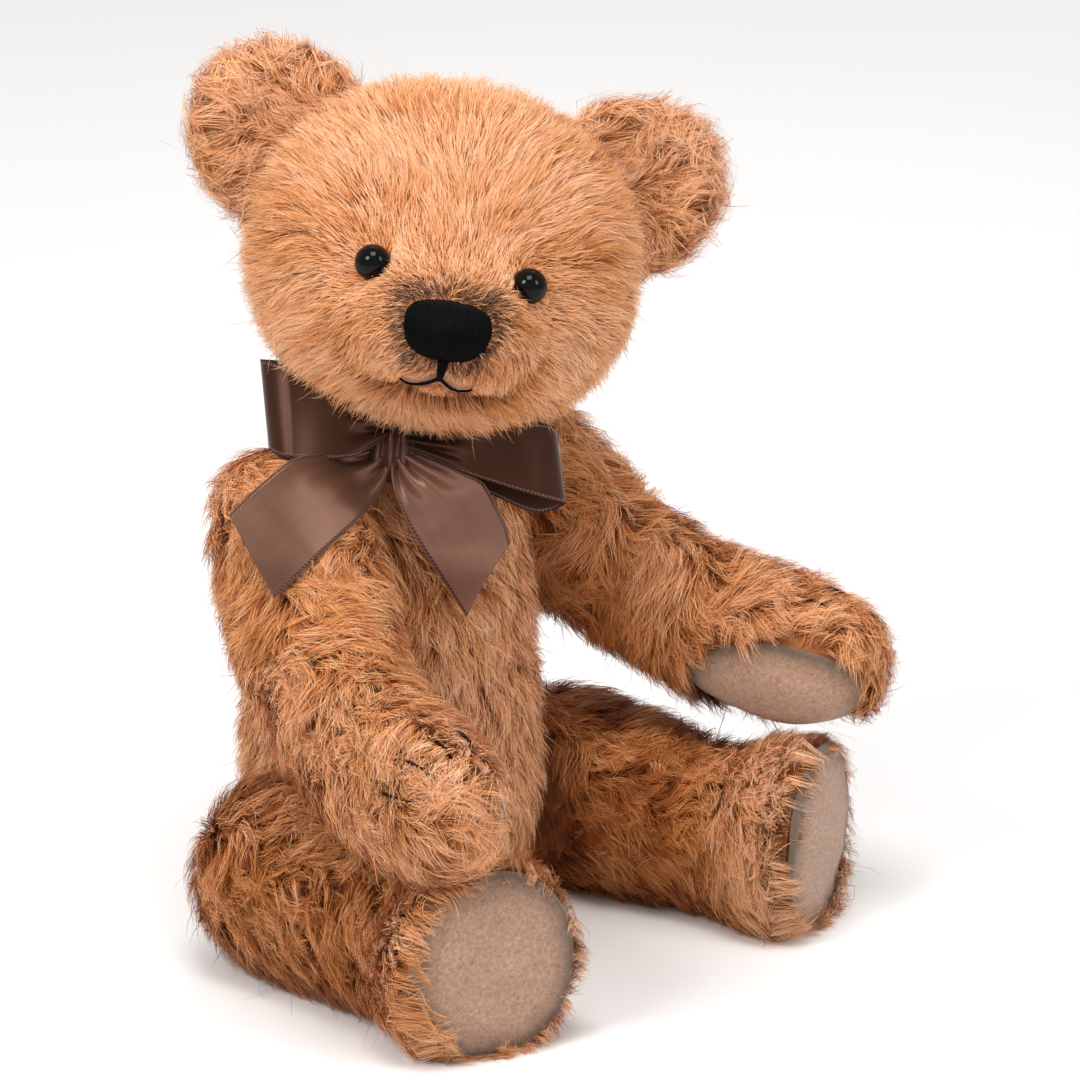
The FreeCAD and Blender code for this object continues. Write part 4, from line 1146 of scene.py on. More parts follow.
def loop_grid(tf, bf, tb, bb, open_, bend, tilt, pleat, nt=120, nv=30, sign=1, ripple=0.8):
    """a loop of ribbon: tables of its front and back layers' top and bottom edges from the knot to the fold"""
    ss = [r[0] for r in tf]
    tabs = []
    for rows in (tf, bf, tb, bb):
        o_ = np.array([offset(r[1], r[2]) for r in rows])
        tabs.append((Table(ss, o_[:, 0]), Table(ss, o_[:, 1])))
    t = np.linspace(0, 1, nt)
    s = 0.5 - 0.5 * np.cos(2 * np.pi * t)
    front = t <= 0.5
    x = np.linspace(0, 1, nv)[None]
    P = np.zeros((nt, nv, 3))
    top = np.stack([np.where(front, tabs[0][k](s), tabs[2][k](s)) for k in (0, 1)], 1)
    bot = np.stack([np.where(front, tabs[1][k](s), tabs[3][k](s)) for k in (0, 1)], 1)
    S = s[:, None] + 0 * x
    y = (open_ * 1.25 * np.sin(2 * np.pi * t) * np.sin(np.pi * t) ** 2)[:, None]
    D = 3.0 + y + bend(S) + tilt(S, x)
    D = D + pleat * (1 - smooth(S, 0.02, 0.5)) * np.cos(np.pi * 2.4 * (2 * x - 1) + 0.8)
    D = D + ripple * np.sin(5.2 * S + 2.0 * x + 0.7) * smooth(S, 0.25, 0.6) * (1 - smooth(S, 0.8, 1.0))
    R = top[:, 0][:, None] * (1 - x) + bot[:, 0][:, None] * x
    U = top[:, 1][:, None] * (1 - x) + bot[:, 1][:, None] * x
    return KNOT + CAM_R * R[..., None] + CAM_U * U[..., None] + CAM_B * D[..., None]


LOOP_R = loop_grid(
    [(0, 397, 424), (0.15, 381, 408), (0.35, 352, 392), (0.6, 320, 378), (0.85, 284, 366), (1, 262, 360)],
    [(0, 395, 434), (0.15, 379, 443), (0.35, 354, 457), (0.6, 322, 459), (0.85, 288, 457), (1, 271, 449)],
    [(0, 397, 424), (0.15, 381, 406), (0.35, 352, 388), (0.6, 320, 373), (0.85, 284, 361), (1, 262, 360)],
    [(0, 395, 434), (0.15, 379, 440), (0.35, 354, 450), (0.6, 322, 452), (0.85, 288, 452), (1, 271, 449)],
    8.0, lambda s: -3.5 * s + 4.2 * np.sin(np.pi * np.clip(s * 1.25, 0, 1)), lambda s, x: -2.2 * (1 - x) * smooth(s, 0.5, 1.0) + 1.2 * x * s, 1.7)
LOOP_L = loop_grid(
    [(0, 403, 433), (0.15, 424, 434), (0.35, 458, 430), (0.6, 495, 426), (0.85, 535, 424), (1, 557, 428)],
    [(0, 403, 446), (0.15, 424, 454), (0.35, 458, 469), (0.6, 498, 483), (0.85, 541, 496), (1, 567, 503)],
    [(0, 403, 433), (0.15, 424, 432), (0.35, 458, 428), (0.6, 495, 424), (0.85, 535, 422), (1, 557, 428)],
    [(0, 403, 446), (0.15, 424, 458), (0.35, 458, 477), (0.6, 498, 496), (0.85, 541, 512), (1, 567, 503)],
    8.5, lambda s: -6.0 * s + 2.4 * np.sin(np.pi * np.clip(s * 1.1, 0, 1)), lambda s, x: 2.4 * (1 - x) * smooth(s, 0.2, 0.8), 1.8, ripple=1.3)


def knot_grid():
    """a short turn of ribbon round the middle: folds run across it"""
    P = []
    for th in np.linspace(-0.62 * np.pi, 0.62 * np.pi, 60):
        row = []
        for x in np.linspace(-1, 1, 26):
            bulge = math.sqrt(max(1 - (0.62 * x) ** 2, 0.0))
            r1, r2 = 7.4 * bulge, 4.9 * bulge
            fold = 0.9 * math.cos(3.2 * math.pi * x + 0.6) + 0.2 * math.cos(7.1 * math.pi * x + 1.3)
            row.append(KNOT + RR * (x * 6.2 + 0.5 * math.sin(th * 1.4)) + np.array([0, 0, 1.0]) * (r1 + fold) * math.sin(th) + KF * ((r2 + fold) * math.cos(th) - 0.4))
        P.append(row)
    return np.array(P)


neck_c = NECK
ax_u = unit(np.cross(neck_n, [0.0, 1.0, 0.0]))
ax_v = np.cross(neck_n, ax_u)
col_skin = Skin(torso_grid(-1.1))


def collar_grid():
    P = []
    w1, w2 = waves(77, 16.0), waves(78, 7.0)
    for th in np.linspace(0, 2 * np.pi, 181):
        row = []
        for x in np.linspace(0, 1, 34):
            # folded in half lengthwise: the outer half rises to the fold, the inner half comes down behind it
            y = 1 - abs(2 * x - 1)
            y = min(y, 1.0)
            h = -14.2 + 10.6 * math.sin(min(y * 1.03, 1.0) * math.pi / 2) ** 1.1
            depth = 0.0 if x < 0.47 else (-0.9 if x > 0.53 else -0.9 * (x - 0.47) / 0.06)
            o = NECK + neck_n * h
            d = ax_u * math.cos(th) + ax_v * math.sin(th)
            hit = col_skin.hit(o, d)
            q = hit[0] if hit else o + d * 24
            q = q + d * (depth + (0.22 * float(w1(q[None])[0]) + 0.25 * math.sin(y * 9.0 + 1.2 * math.sin(th * 2))) * (1 if x < 0.5 else 0.4))
            row.append(q)
        P.append(row)
    return np.array(P)


for nm_, nd_, P_, ln_, hold in (("ribbon_round_neck", "ribbon_collar", collar_grid(), 170.0, "stretched"),
                                ("bow_knot_turn", "bow_knot", knot_grid(), 22.0, "gathered"),
                                ("bow_right_loop", "bow_loop_right", LOOP_R, 84.0, "gathered"),
                                ("bow_left_loop", "bow_loop_left", LOOP_L, 98.0, "gathered"),
                                ("bow_right_tail", "bow_tail_right", TAIL_R, 62.0, "hung"),
                                ("bow_left_tail", "bow_tail_left", TAIL_L, 50.0, "hung")):
    o, e = ribbon_piece(nm_, nd_, P_)
    if nm_ == "bow_right_tail":
        a_, b_ = KNOT * 0.001, (P_[-1].mean(0)) * 0.001
        for q in (o, e):
            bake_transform(q)
    else:
        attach(o, "torso"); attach(e, "torso")

# =============================================================================
# eyes, nose, mouth, claws
# =============================================================================
head0 = Skin(head_grid(0.0, 90, 120))
EYES = {}
for nm in ("left", "right"):
    lo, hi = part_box("eye_" + nm)
    lo, hi = np.array(lo) * 1000.0, np.array(hi) * 1000.0
    EYES[nm] = (lo + hi) / 2
    r = float((hi - lo).mean() / 2)
    R = []
    for a in np.linspace(0.06, np.pi - 0.06, 40):
        t = 2 * np.pi * np.arange(56) / 56
        R.append(EYES[nm] + r * (np.outer(np.cos(t) * np.sin(a), HX) + np.outer(np.sin(t) * np.sin(a), HZ) - HY * np.cos(a)))
    R = np.array(R)
    sk = Skin(R)
    o = raw_mesh("eye_glass_" + nm, sk.V, [sk.quads, sk.caps], [GLASS])
    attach(o, "head"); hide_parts("eye_" + nm)

NOSE_Z = -19.5
up_x, up_z = zip(*[(-12.0, 1.6), (-11.3, 4.2), (-9.4, 6.1), (-6.4, 7.1), (-2.6, 7.5), (0.0, 7.6), (2.6, 7.5), (6.4, 7.1), (9.4, 6.1), (11.3, 4.2), (12.0, 1.6)])
lo_x, lo_z = zip(*[(-12.0, 1.4), (-11.8, -1.2), (-10.8, -4.2), (-8.4, -6.6), (-5.0, -8.0), (0.0, -8.6), (5.0, -8.0), (8.4, -6.6), (10.8, -4.2), (11.8, -1.2), (12.0, 1.4)])
nose_up, nose_lo = Table(up_x, up_z), Table(lo_x, lo_z)


def face_point(x, z, lift):
    o = hp(x, -95.0, z)
    hit = head0.hit(o, HY)
    q = hit[0] if hit is not None else hp(x, -44.0, z)
    return q - HY * lift


def nose_lift(x, q):
    e = 1 - abs(q) ** 3.0
    el = 1 - (abs(x) / 12.1) ** 4.0
    k = max(min(e, 1.0), 0.0) ** 0.5 * max(el, 0.0) ** 0.5
    return -2.9 + k * (3.7 + 1.1 * (1 - (x / 12.1) ** 2))


rng_n = np.random.default_rng(61)
bag = Bag()
for x in np.linspace(-11.75, 11.75, 60):
    zt, zb = float(nose_up(x)), float(nose_lo(x))
    ph = rng_n.uniform(0, 6.28)
    pts = []
    r0 = rng_n.uniform(0.27, 0.35)
    for i in range(30):
        q = -1 + 2 * (0.5 - 0.5 * math.cos(math.pi * i / 29))
        z = NOSE_Z + (zt + zb) / 2 + q * (zt - zb) / 2
        xx = x * (1 + 0.012 * (1 - q * q)) + 0.05 * math.sin(ph + 3 * q)
        pts.append(face_point(xx, z, nose_lift(x, q) + 0.06 * math.sin(ph)))
    V, F = tube(np.array(pts), r0, 7)
    bag.add(V, F)
G = []
for x in np.linspace(-11.9, 11.9, 40):
    zt, zb = float(nose_up(x)), float(nose_lo(x))
    G.append([face_point(x, NOSE_Z + (zt + zb) / 2 + q * (zt - zb) / 2, nose_lift(x, q) - 0.65) for q in np.linspace(-1, 1, 26)])
thick(np.array(G), 0.8, bag)
o = bag.make("nose_satin_stitch", [THREAD])
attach(o, "head"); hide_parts("nose")

# mouth: a stem of several threads that narrows downwards, and two tapering lips, sunk in the clipped pile
def cloth_point(x, z, lift):
    hit = SKINS["head"].hit(hp(x, -95.0, z), HY)
    q = hit[0] if hit is not None else face_point(x, z, -2.0)
    return q - HY * lift


bag = Bag()
for dx, r in ((-1.05, 0.34), (-0.55, 0.38), (0.0, 0.42), (0.55, 0.38), (1.05, 0.34)):
    pts = [cloth_point(dx * k, z, lf) for z, k, lf in ((-27.6, 1.25, 1.6), (-29.6, 1.1, 2.9), (-31.2, 0.85, 3.0), (-32.6, 0.6, 3.0), (-33.8, 0.45, 2.8))]
    twisted(bag, pts, r, 2, 1.7)
for sgn in (-1, 1):
    lip = [(0.0, -33.0), (1.6, -34.2), (3.4, -35.3), (5.2, -35.9), (7.0, -36.1), (8.6, -35.8), (10.0, -35.1)]
    pts = [cloth_point(sgn * x, z, (3.0, 3.4, 3.6, 3.6, 3.6, 3.5, 3.2)[i]) for i, (x, z) in enumerate(lip)]
    twisted(bag, pts, 0.56, 3, 2.0, taper=lambda t: 1.0 - 0.40 * t ** 1.5)
o = bag.make("mouth_thread", [THREAD])
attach(o, "head"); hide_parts("mouth_stitches")


def on_limb(L, s, ang, lift):
    c, tg, up, w, tw, h, b = L.mid(s)
    return c + up * ((h + lift) * abs(math.sin(ang)) ** (2 / 2.15)) + w * ((b + lift) * abs(math.cos(ang)) ** (2 / 2.15) * (1 if math.cos(ang) > 0 else -1))


CLAWS = {}
for nm in ("left", "right"):
    for kind, L in (("arm", ARMS[nm]), ("leg", LEGS[nm])):
        bag, line = Bag(), []
        for lt in ((-9.0, -3.0, 3.0, 9.0) if kind == "arm" else (-13.5, -4.5, 4.5, 13.5)):
            s0 = 117.0 - 0.10 * lt * lt / 3 if kind == "arm" else 83.5
            ang = math.radians(52.0 + lt * (5.2 if kind == "arm" else 2.4))
            half = 5.6 if kind == "arm" else 5.2
            pts = [on_limb(L, s0 + half * k, ang + 0.02 * k, lf) for k, lf in ((-1.0, -2.4), (-0.86, -0.5), (-0.4, 0.55), (0.4, 0.55), (0.86, -0.5), (1.0, -2.4))]
            twisted(bag, pts, 0.56, 2, 2.1)
            line += [np.array(pts[i]) for i in (1, 2, 3, 4)]
        o = bag.make("%s_%s_claw_stitches" % (nm, kind), [CLAW_THREAD])
        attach(o, nm + "_" + kind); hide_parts("%s_%s_claws" % (kind, nm))
        CLAWS[kind + "_" + nm] = np.array(line)

# =============================================================================
# felt pads
# =============================================================================
PAD_TREE = {}
for nm in ("left", "right"):
    limb = ARMS[nm]
    c, mdir, lon, lat = PADS[nm]
    S15 = Skin(plump(nm, limb.grid(1.25, 80, 100)))
    base_q = S15.hit(c + mdir * 60, -mdir)[0]
    rings, rimv = [], []
    t = 2 * np.pi * np.arange(120) / 120
    for rho, dep in [(q, 0.0) for q in np.linspace(0.03, 0.965, 26)] + [(0.985, 0.10), (0.997, 0.38), (1.0, 0.8), (1.0, 1.5), (0.93, 1.7), (0.5, 1.7), (0.05, 1.7)]:
        row = []
        d0 = (base_q - c) @ mdir
        for a in t:
            u_, v_ = PAD_A * rho * math.cos(a), PAD_B * rho * math.sin(a)
            o = c - mdir * 8 + lon * (u_ * 0.5) + lat * (v_ * 0.5)
            d = c + lon * u_ + lat * v_ + mdir * (d0 - 4.5 * rho * rho) - o
            hit = S15.hit(o, unit(d))
            row.append(hit[0] - unit(d) * dep)
        rings.append(row); rimv.append(rho)
    sk = Skin(np.array(rings))
    PAD_TREE[nm] = BVHTree.FromPolygons(sk.V.tolist(), sk.T.tolist())
    o = raw_mesh("paw_felt_" + nm, sk.V, [sk.quads, sk.caps], [FELT])
    attribute(o, "rim", np.concatenate([np.repeat(rimv, 120), [0.0, 0.0]]))
    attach(o, nm + "_arm"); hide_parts("paw_pad_" + nm)
    # sole
    limb = LEGS[nm]
    c, tang, up, w_, tw, h_, b_ = limb.mid(SOLE_S)
    rings, rimv = [], []
    for rho, dep in [(q, 0.0) for q in np.linspace(0.03, 0.965, 26)] + [(0.985, 0.12), (0.997, 0.42), (1.0, 0.9), (1.0, 1.6), (0.93, 1.8), (0.5, 1.8), (0.05, 1.8)]:
        P = ring(c, up, w_, (h_ - 1.7) * rho, (b_ - 1.7) * rho, 2.15, 120)
        r2 = ((P - c) ** 2).sum(1)
        P = P + np.outer(SOLE_TOP - SOLE_R + np.sqrt(SOLE_R ** 2 - r2) - dep, tw)
        rings.append(P); rimv.append(rho)
    R = np.array(rings)
    R = R + unit(tw) * (0.18 * waves(91, 14.0)(R.reshape(-1, 3))).reshape(R.shape[0], R.shape[1], 1)
    R[..., 2] = np.maximum(R[..., 2], 0.3)
    sk = Skin(R)
    o = raw_mesh("sole_felt_" + nm, sk.V, [sk.quads, sk.caps], [FELT])
    attribute(o, "rim", np.concatenate([np.repeat(rimv, 120), [0.0, 0.0]]))
    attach(o, nm + "_leg"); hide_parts("sole_pad_" + nm)

# =============================================================================
# materials of the pieces carried over from CAD
# =============================================================================


def wool_material():
    mt, nt, b = new_material("polyester_stuffing")
    vec = objcoord(nt)
    n1, n2 = noise_tex(nt, 220.0, 6.0, 0.7, 1.5, vec), noise_tex(nt, 1500.0, 3.0, 0.6, 0.5, vec)
    nt.links.new(mixc(nt, srgb(222, 216, 204), srgb(248, 245, 238), n1.outputs[0]), b.inputs["Base Color"])
    put(b, rough=0.95, spec=0.1, sheen=0.3)
    bump(nt, math_node(nt, "ADD", n1.outputs[0], n2.outputs[0]), 0.6, 0.0008, b)
    return mt


def board_material():
    mt, nt, b = new_material("hardboard")
    vec = objcoord(nt)
    n1, n2 = noise_tex(nt, 500.0, 6.0, 0.7, 0.8, vec), noise_tex(nt, 60.0, 3.0, 0.6, 0.2, vec)
    c = mixc(nt, srgb(92, 62, 38), srgb(142, 104, 68), n1.outputs[0])
    nt.links.new(mixc(nt, c, srgb(70, 46, 28), math_node(nt, "MULTIPLY", n2.outputs[0], 0.4)), b.inputs["Base Color"])
    put(b, rough=0.7, spec=0.3)
    bump(nt, n1.outputs[0], 0.4, 0.0003, b)
    return mt


def steel_material():
    mt, nt, b = new_material("zinc_plated_steel")
    vec = objcoord(nt)
    n1, n2 = noise_tex(nt, 800.0, 3.0, 0.6, 0.0, vec), noise_tex(nt, 70.0, 3.0, 0.6, 0.4, vec)
    nt.links.new(mixc(nt, srgb(150, 152, 156), srgb(196, 198, 200), n2.outputs[0]), b.inputs["Base Color"])
    put(b, metal=1.0, spec=0.5, rough=0.32)
    bump(nt, n1.outputs[0], 0.12, 0.0001, b)
    return mt


WOOL, BOARD, STEEL = wool_material(), board_material(), steel_material()
for o in list(bpy.data.objects):
    nd = o.get("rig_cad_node") or (o.name if o.name in frame.get("nodes", {}) else None)
    if o.type != "MESH" or not nd or o.hide_render:
        continue
    mt = STEEL
    if "filling" in nd:
        mt = WOOL
    elif "disc" in nd:
        mt = BOARD
    o.data = o.data.copy()
    o.data.materials.clear()
    o.data.materials.append(mt)
    print("cad node shown", nd, mt.name)

# =============================================================================
# fur on each piece
# =============================================================================
NOSE_OUT = [(-11.0, 8.3), (-5.0, 9.3), (5.0, 9.3), (11.0, 8.3), (12.9, 5.5), (12.6, 0.5), (10.5, -5.5), (6.5, -8.8), (0.0, -9.8),
            (-6.5, -8.8), (-10.5, -5.5), (-12.6, 0.5), (-12.9, 5.5)]


def nose_distance(L):
    """about how far a point of the head (own axes) lies outside the nose's outline, negative inside; only in front"""
    x, z = L[:, 0], L[:, 2] - NOSE_Z
    ax = np.abs(x)
    a = 12.0 - 0.30 * np.clip(-z, 0, None) - 0.02 * np.clip(-z, 0, None) ** 2 - 0.02 * np.clip(z, 0, None) ** 2
    dx = ax - a
    dz = np.abs(z + 0.5) - 8.0
    d = np.where((dx > 0) & (dz > 0), np.hypot(dx, dz), np.maximum(dx, dz))
    return np.where(L[:, 1] < -40, d, 60.0)


def mouth_distance(L):
    x, z = np.abs(L[:, 0]), L[:, 2]
    stem = np.hypot(x, np.clip(-33.2 - z, 0, None) + np.clip(z + 29.9, 0, None))
    lz = np.interp(x, [0, 3.4, 6.6, 9.6], [-33.2, -35.4, -36.0, -35.2])
    lip = np.hypot(z - lz, np.clip(x - 9.6, 0, None))
    return np.where(L[:, 1] < -40, np.minimum(stem, lip), 60.0)


def tangent(F, N):
    return unit(F - N * (F * N).sum(1)[:, None])


swirl_a, swirl_b = waves(101, 34.0), waves(102, 13.0)


def head_flow(P, N):
    L = hlocal(P)
    nose = hp(0, -52, NOSE_Z + 2)
    away = unit(P - nose)
    side = smooth(np.abs(L[:, 0]), 12, 40)[:, None]
    low = smooth(-L[:, 2], -10, 12)[:, None]
    F = away - np.array([0, 0, 1.0]) * (0.42 * side + 0.25 * low)
    # a parting lifts over each eye
    for c in EYES.values():
        v = P - c
        d = np.linalg.norm(v, axis=1)
        g = np.exp(-(d / 7.5) ** 2)[:, None]
        F = F * (1 - g) + unit(v) * g * 1.1
    F = tangent(F, N)
    ang = swirl_a(P) * 0.20 + swirl_b(P) * 0.15
    return turn_about(F, N, ang)


def torso_flow(P, N):
    F = np.tile(np.array([0.0, 0.0, -1.0]), (len(P), 1)) + np.stack([P[:, 0] * 0.004, np.zeros(len(P)), np.zeros(len(P))], 1)
    F = tangent(F, N)
    return turn_about(F, N, swirl_a(P) * 0.22 + swirl_b(P) * 0.2)


def limb_flow(limb, amount, tilt):
    S = np.linspace(limb.xs[0], limb.xs[-1], 60)
    spine = np.array([limb.mid(s)[0] for s in S])
    tang = np.array([limb.mid(s)[4] for s in S])
    ups = np.array([limb.mid(s)[2] for s in S])
    sa, sb = waves(201 + int(amount * 10), 30.0), waves(207, 12.0)

    def f(P, N):
        i = np.argmin(((P[:, None] - spine[None]) ** 2).sum(2), axis=1)
        F = tangent(tang[i] - ups[i] * tilt, N)
        return turn_about(F, N, sa(P) * amount + sb(P) * amount * 0.55)

    def where(P):
        i = np.argmin(((P[:, None] - spine[None]) ** 2).sum(2), axis=1)
        return S[i]
    return f, where


def ear_flow(nm):
    base, e_up, e_w, e_n = EARS[nm]
    root = base - e_up * 12.0

    def f(P, N):
        F = tangent((P - root) + e_up * 4.0 - np.array([0.0, 0.0, 9.0]), N)
        return turn_about(F, N, swirl_b(P) * 0.5)
    return f


def coat(key, per_mm2, k, length, height, flow, bias, seed, spread=1.1, tight=0.6, width=0.30, curl=0.35, frizz=0.5, weight=None,
         others=(), ink=None, dusk=None, dark=0.0, covers=(), claws=None, fly=0.06, name=None, clear=None):
    """fur over one skin: length and height are functions of the roots' places and normals"""
    sk = SKINS[key]
    rng = np.random.default_rng(seed)
    want = int(sk.area() * per_mm2 * DENSITY / k)
    P, N = sk.sample(want, rng, weight)
    Ln, Ht = length(P, N), height(P, N)
    jit = rng.uniform(0.8, 1.2, len(P))
    Ln, Ht = Ln * jit, Ht * rng.uniform(0.75, 1.25, len(P))
    if others:
        free = room(P, N, [SKINS[o] for o in others])
        Ht = np.minimum(Ht, np.maximum(free * 0.46, 0.7))
        near = free < 7.0
        Ln = np.where(near, np.minimum(Ln, 8.0), Ln)
    if covers:
        free = np.full(len(P), 1e3)
        for tree in covers:
            for i, (p, n) in enumerate(zip((P - N * 0.5).tolist(), N.tolist())):
                hit = tree.ray_cast(p, n, 16.0)
                if hit[0] is not None and hit[3] < free[i]:
                    free[i] = hit[3]
                hit = tree.find_nearest(p, 9.0)
                if hit[0] is not None:
                    free[i] = min(free[i], max(hit[3] * 1.25, 0.5))
        Ht = np.minimum(Ht, np.maximum(free * 0.62 - 0.6, 0.5))
        Ln = np.where(free < 6.0, np.minimum(Ln, 9.0), Ln)
    if claws is not None:
        d = np.sqrt(((P[:, None] - CLAWS[claws][None]) ** 2).sum(2)).min(1)
        Ht = np.minimum(Ht, 4.0 + 0.5 * np.clip(d - 3.5, 0, None))
        Ln = np.minimum(Ln, 7.5 + 0.9 * np.clip(d - 3.5, 0, None))
    Ht = np.minimum(Ht, Ln * 0.93)
    c0 = rng.normal(size=len(P)) * curl
    c1 = rng.normal(size=len(P)) * curl * 1.3
    G, NN = grow(sk, P, N, Ln, Ht, flow, (c0, c1))
    for tree in covers:
        find = tree.find_nearest
        near_ = [i for i, q in enumerate(G[:, 2].tolist()) if find(q, 16.0)[0] is not None]
        for i in near_:
            for j in range(1, SEG + 1):
                loc, nor, idx, dist = find(G[i, j].tolist(), 9.0)
                if loc is None:
                    continue
                v, n_ = G[i, j] - np.array(loc), NN[i, j]
                up_ = float(v @ n_)
                if up_ > -1.5 and np.linalg.norm(v - n_ * up_) < 2.2:
                    G[i, j] -= n_ * min(up_ + 1.5, 7.5)
    tg = np.clip(tight + rng.normal(size=len(P)) * 0.15, 0.05, 0.95)
    kinds = pick_kinds(P, k, rng, bias(P, N) if callable(bias) else np.full(len(P), bias), seed + 5,
                       ink=None if ink is None else ink(P), dusk=None if dusk is None else dusk(P), dark=dark(P, N) if callable(dark) else dark)
    return strands(name or "fur_" + key, BODY[key], G, NN, k, spread, tg, width, kinds, rng, frizz, ground=True, fly=fly, covers=covers, clear=clear)


def off_flats(names, radius):
    def f(P):
        w = np.ones(len(P))
        for nme in names:
            p, n = JOINTS[nme]
            d = P - p
            h = np.abs(d @ n)
            r = np.linalg.norm(d - np.outer(d @ n, n), axis=1)
            w = np.where((h < 1.4) & (r < radius), 0.0, w)
        return w
    return f


# ---- torso
t_off = off_flats(["shoulder_left", "shoulder_right", "hip_left", "hip_right", "neck"], 21.0)


def torso_len(P, N):
    return np.full(len(P), 12.0) - 4.0 * smooth(P[:, 2], 134, 150)


def torso_ht(P, N):
    h = np.full(len(P), 6.2) - 2.2 * smooth(P[:, 2], 128, 140)
    return h * (1 - 0.75 * smooth(-P[:, 2], -9, -1))


def torso_bias(P, N):
    return 2.75 + 0.25 * smooth(-P[:, 1], 0, 30) - 0.5 * smooth(P[:, 1], 0, 30) + 0.6 * smooth(-P[:, 2], -112, -80)


# painted shade: more locks of the painted-shade row on the upper chest, under the head and the bow
coat("torso", 2.75, 12, torso_len, torso_ht, torso_flow, torso_bias, 301, weight=lambda P, N: t_off(P) * (1 - 0.6 * smooth(P[:, 2], 150, 156)),
     others=("arm_left", "arm_right", "leg_left", "leg_right", "head"), covers=COVERS, width=0.19, spread=1.25, tight=0.46, curl=0.30, frizz=0.5, fly=0.05,
     dark=lambda P, N: 0.03 + 0.36 * smooth(P[:, 2], 95, 128))

# ---- head
def head_len(P, N):
    L = hlocal(P)
    dn = nose_distance(L)
    base = 11.0 + 1.5 * smooth(L[:, 1], -5, 25)
    l = np.minimum(base, 3.2 + 0.17 * np.clip(dn, 0, None) ** 1.0 * 1.6)
    de = np.min([np.linalg.norm(P - c, axis=1) for c in EYES.values()], axis=0)
    l = np.minimum(l, 3.6 + 0.55 * np.clip(de - 6, 0, None))
    md = mouth_distance(L)
    return np.minimum(l, 1.5 + 0.62 * np.clip(md - 0.6, 0, None))


def head_ht(P, N):
    L = hlocal(P)
    h = 0.56 * head_len(P, N) + 0.4
    dn = nose_distance(L)
    h = np.minimum(h, 2.0 + 0.11 * np.clip(dn, 0, None) * 1.3)
    de = np.min([np.linalg.norm(P - c, axis=1) for c in EYES.values()], axis=0)
    h = np.minimum(h, 1.6 + 0.30 * np.clip(de - 5, 0, None))
    md = mouth_distance(L)
    return np.minimum(h, 1.0 + 0.30 * np.clip(md - 0.8, 0, None))


def head_keep(P, N):
    L = hlocal(P)
    w = np.ones(len(P))
    w = np.where(nose_distance(L) < -1.2, 0.0, w)
    for c in EYES.values():
        v = P - c
        out = unit(c - hp(0, -10, -4))
        r = np.linalg.norm(v - np.outer(v @ out, out), axis=1)
        w = np.where((r < 3.4) & (np.linalg.norm(v, axis=1) < 9), 0.0, w)
    w = np.where(np.abs((P - NECK) @ neck_n) < 1.6, 0.12, w)
    w = np.where(mouth_distance(L) < 0.75, 0.0, w)
    return w * (1.0 + 0.7 * smooth(-L[:, 1], 20, 45))


def head_ink(P):
    L = hlocal(P)
    d = nose_distance(L)
    top = smooth(L[:, 2], NOSE_Z - 2, NOSE_Z + 8)
    return np.clip(0.62 * np.exp(-(np.clip(d, 0, None) / (1.4 + 1.8 * top)) ** 2), 0, 1) * (d < 12)


def head_dusk(P):
    """the brown shade airbrushed round the nose"""
    L = hlocal(P)
    d = nose_distance(L)
    return np.clip(0.55 * np.exp(-(np.clip(d, 0, None) / 4.2) ** 2), 0, 1) * (d < 16)


def head_bias(P, N):
    L = hlocal(P)
    b = 3.0 - 0.05 * smooth(L[:, 2], 0, 30) - 0.5 * smooth(L[:, 1], 0, 30)
    de = np.min([np.linalg.norm(P - c, axis=1) for c in EYES.values()], axis=0)
    # painted shade: the fur round each eye is darker, for the shade of the sockets
    return b - 0.8 * np.exp(-(de / 9.0) ** 2)


def mouth_clear(C):
    """hairs that would lie over the mouth's threads"""
    Q = np.concatenate([C[:, 1:], (C[:, 1:] + C[:, :-1]) / 2], 1)
    L = hlocal(Q.reshape(-1, 3))
    x, z = np.abs(L[:, 0]), L[:, 2]
    up_ = z - np.interp(x, [0, 3.4, 6.6, 9.6], [-33.2, -35.4, -36.0, -35.2])
    lip = (x < 10.2) & (up_ < 1.3) & (up_ > -0.8)
    stem = (x < 1.1) & (z < -27.5) & (z > -33.5)
    return ((L[:, 1] < -40) & (lip | stem)).reshape(len(C), -1).any(1)


coat("head", 4.0, 8, head_len, head_ht, head_flow, head_bias, 302, spread=1.0, tight=0.30, width=0.165, curl=0.15, frizz=0.26, weight=head_keep,
     others=("ear_left", "ear_right"), ink=head_ink, dusk=head_dusk, fly=0.05, clear=mouth_clear)

# ---- ears
for nm in ("left", "right"):
    base, e_up, e_w, e_n = EARS[nm]

    def e_len(P, N, base=base, e_up=e_up, e_w=e_w):
        s = (P - base) @ e_up
        edge = smooth(np.hypot(s - 6.0, (P - base) @ e_w), 12, 21)
        return 10.5 + 7.5 * edge

    def e_ht(P, N, base=base, e_up=e_up, e_n=e_n):
        s = (P - base) @ e_up
        front = smooth(N @ e_n, -0.2, 0.4)
        return 6.4 - 1.8 * front + 3.4 * smooth(s, 8, 24)

    def e_keep(P, N, base=base, e_up=e_up):
        L = hlocal(P)
        return np.where(((P - base) @ e_up) < -5.5, 0.0, 1.0)

    def e_bias(P, N, e_n=e_n):
        # painted shade: the cupped front of the ear is darker
        return 3.5 - 0.6 * smooth(N @ e_n, 0.0, 0.6)
    # painted shade: a few locks of the painted-shade row inside the cup
    coat("ear_" + nm, 5.0, 10, e_len, e_ht, ear_flow(nm), e_bias, 303 + (nm == "left"), spread=1.05, tight=0.60, width=0.17, curl=0.36, frizz=0.50,
         weight=e_keep, fly=0.09, dark=lambda P, N, e_n=e_n: 0.01 + 0.10 * smooth(N @ e_n, 0.0, 0.7))

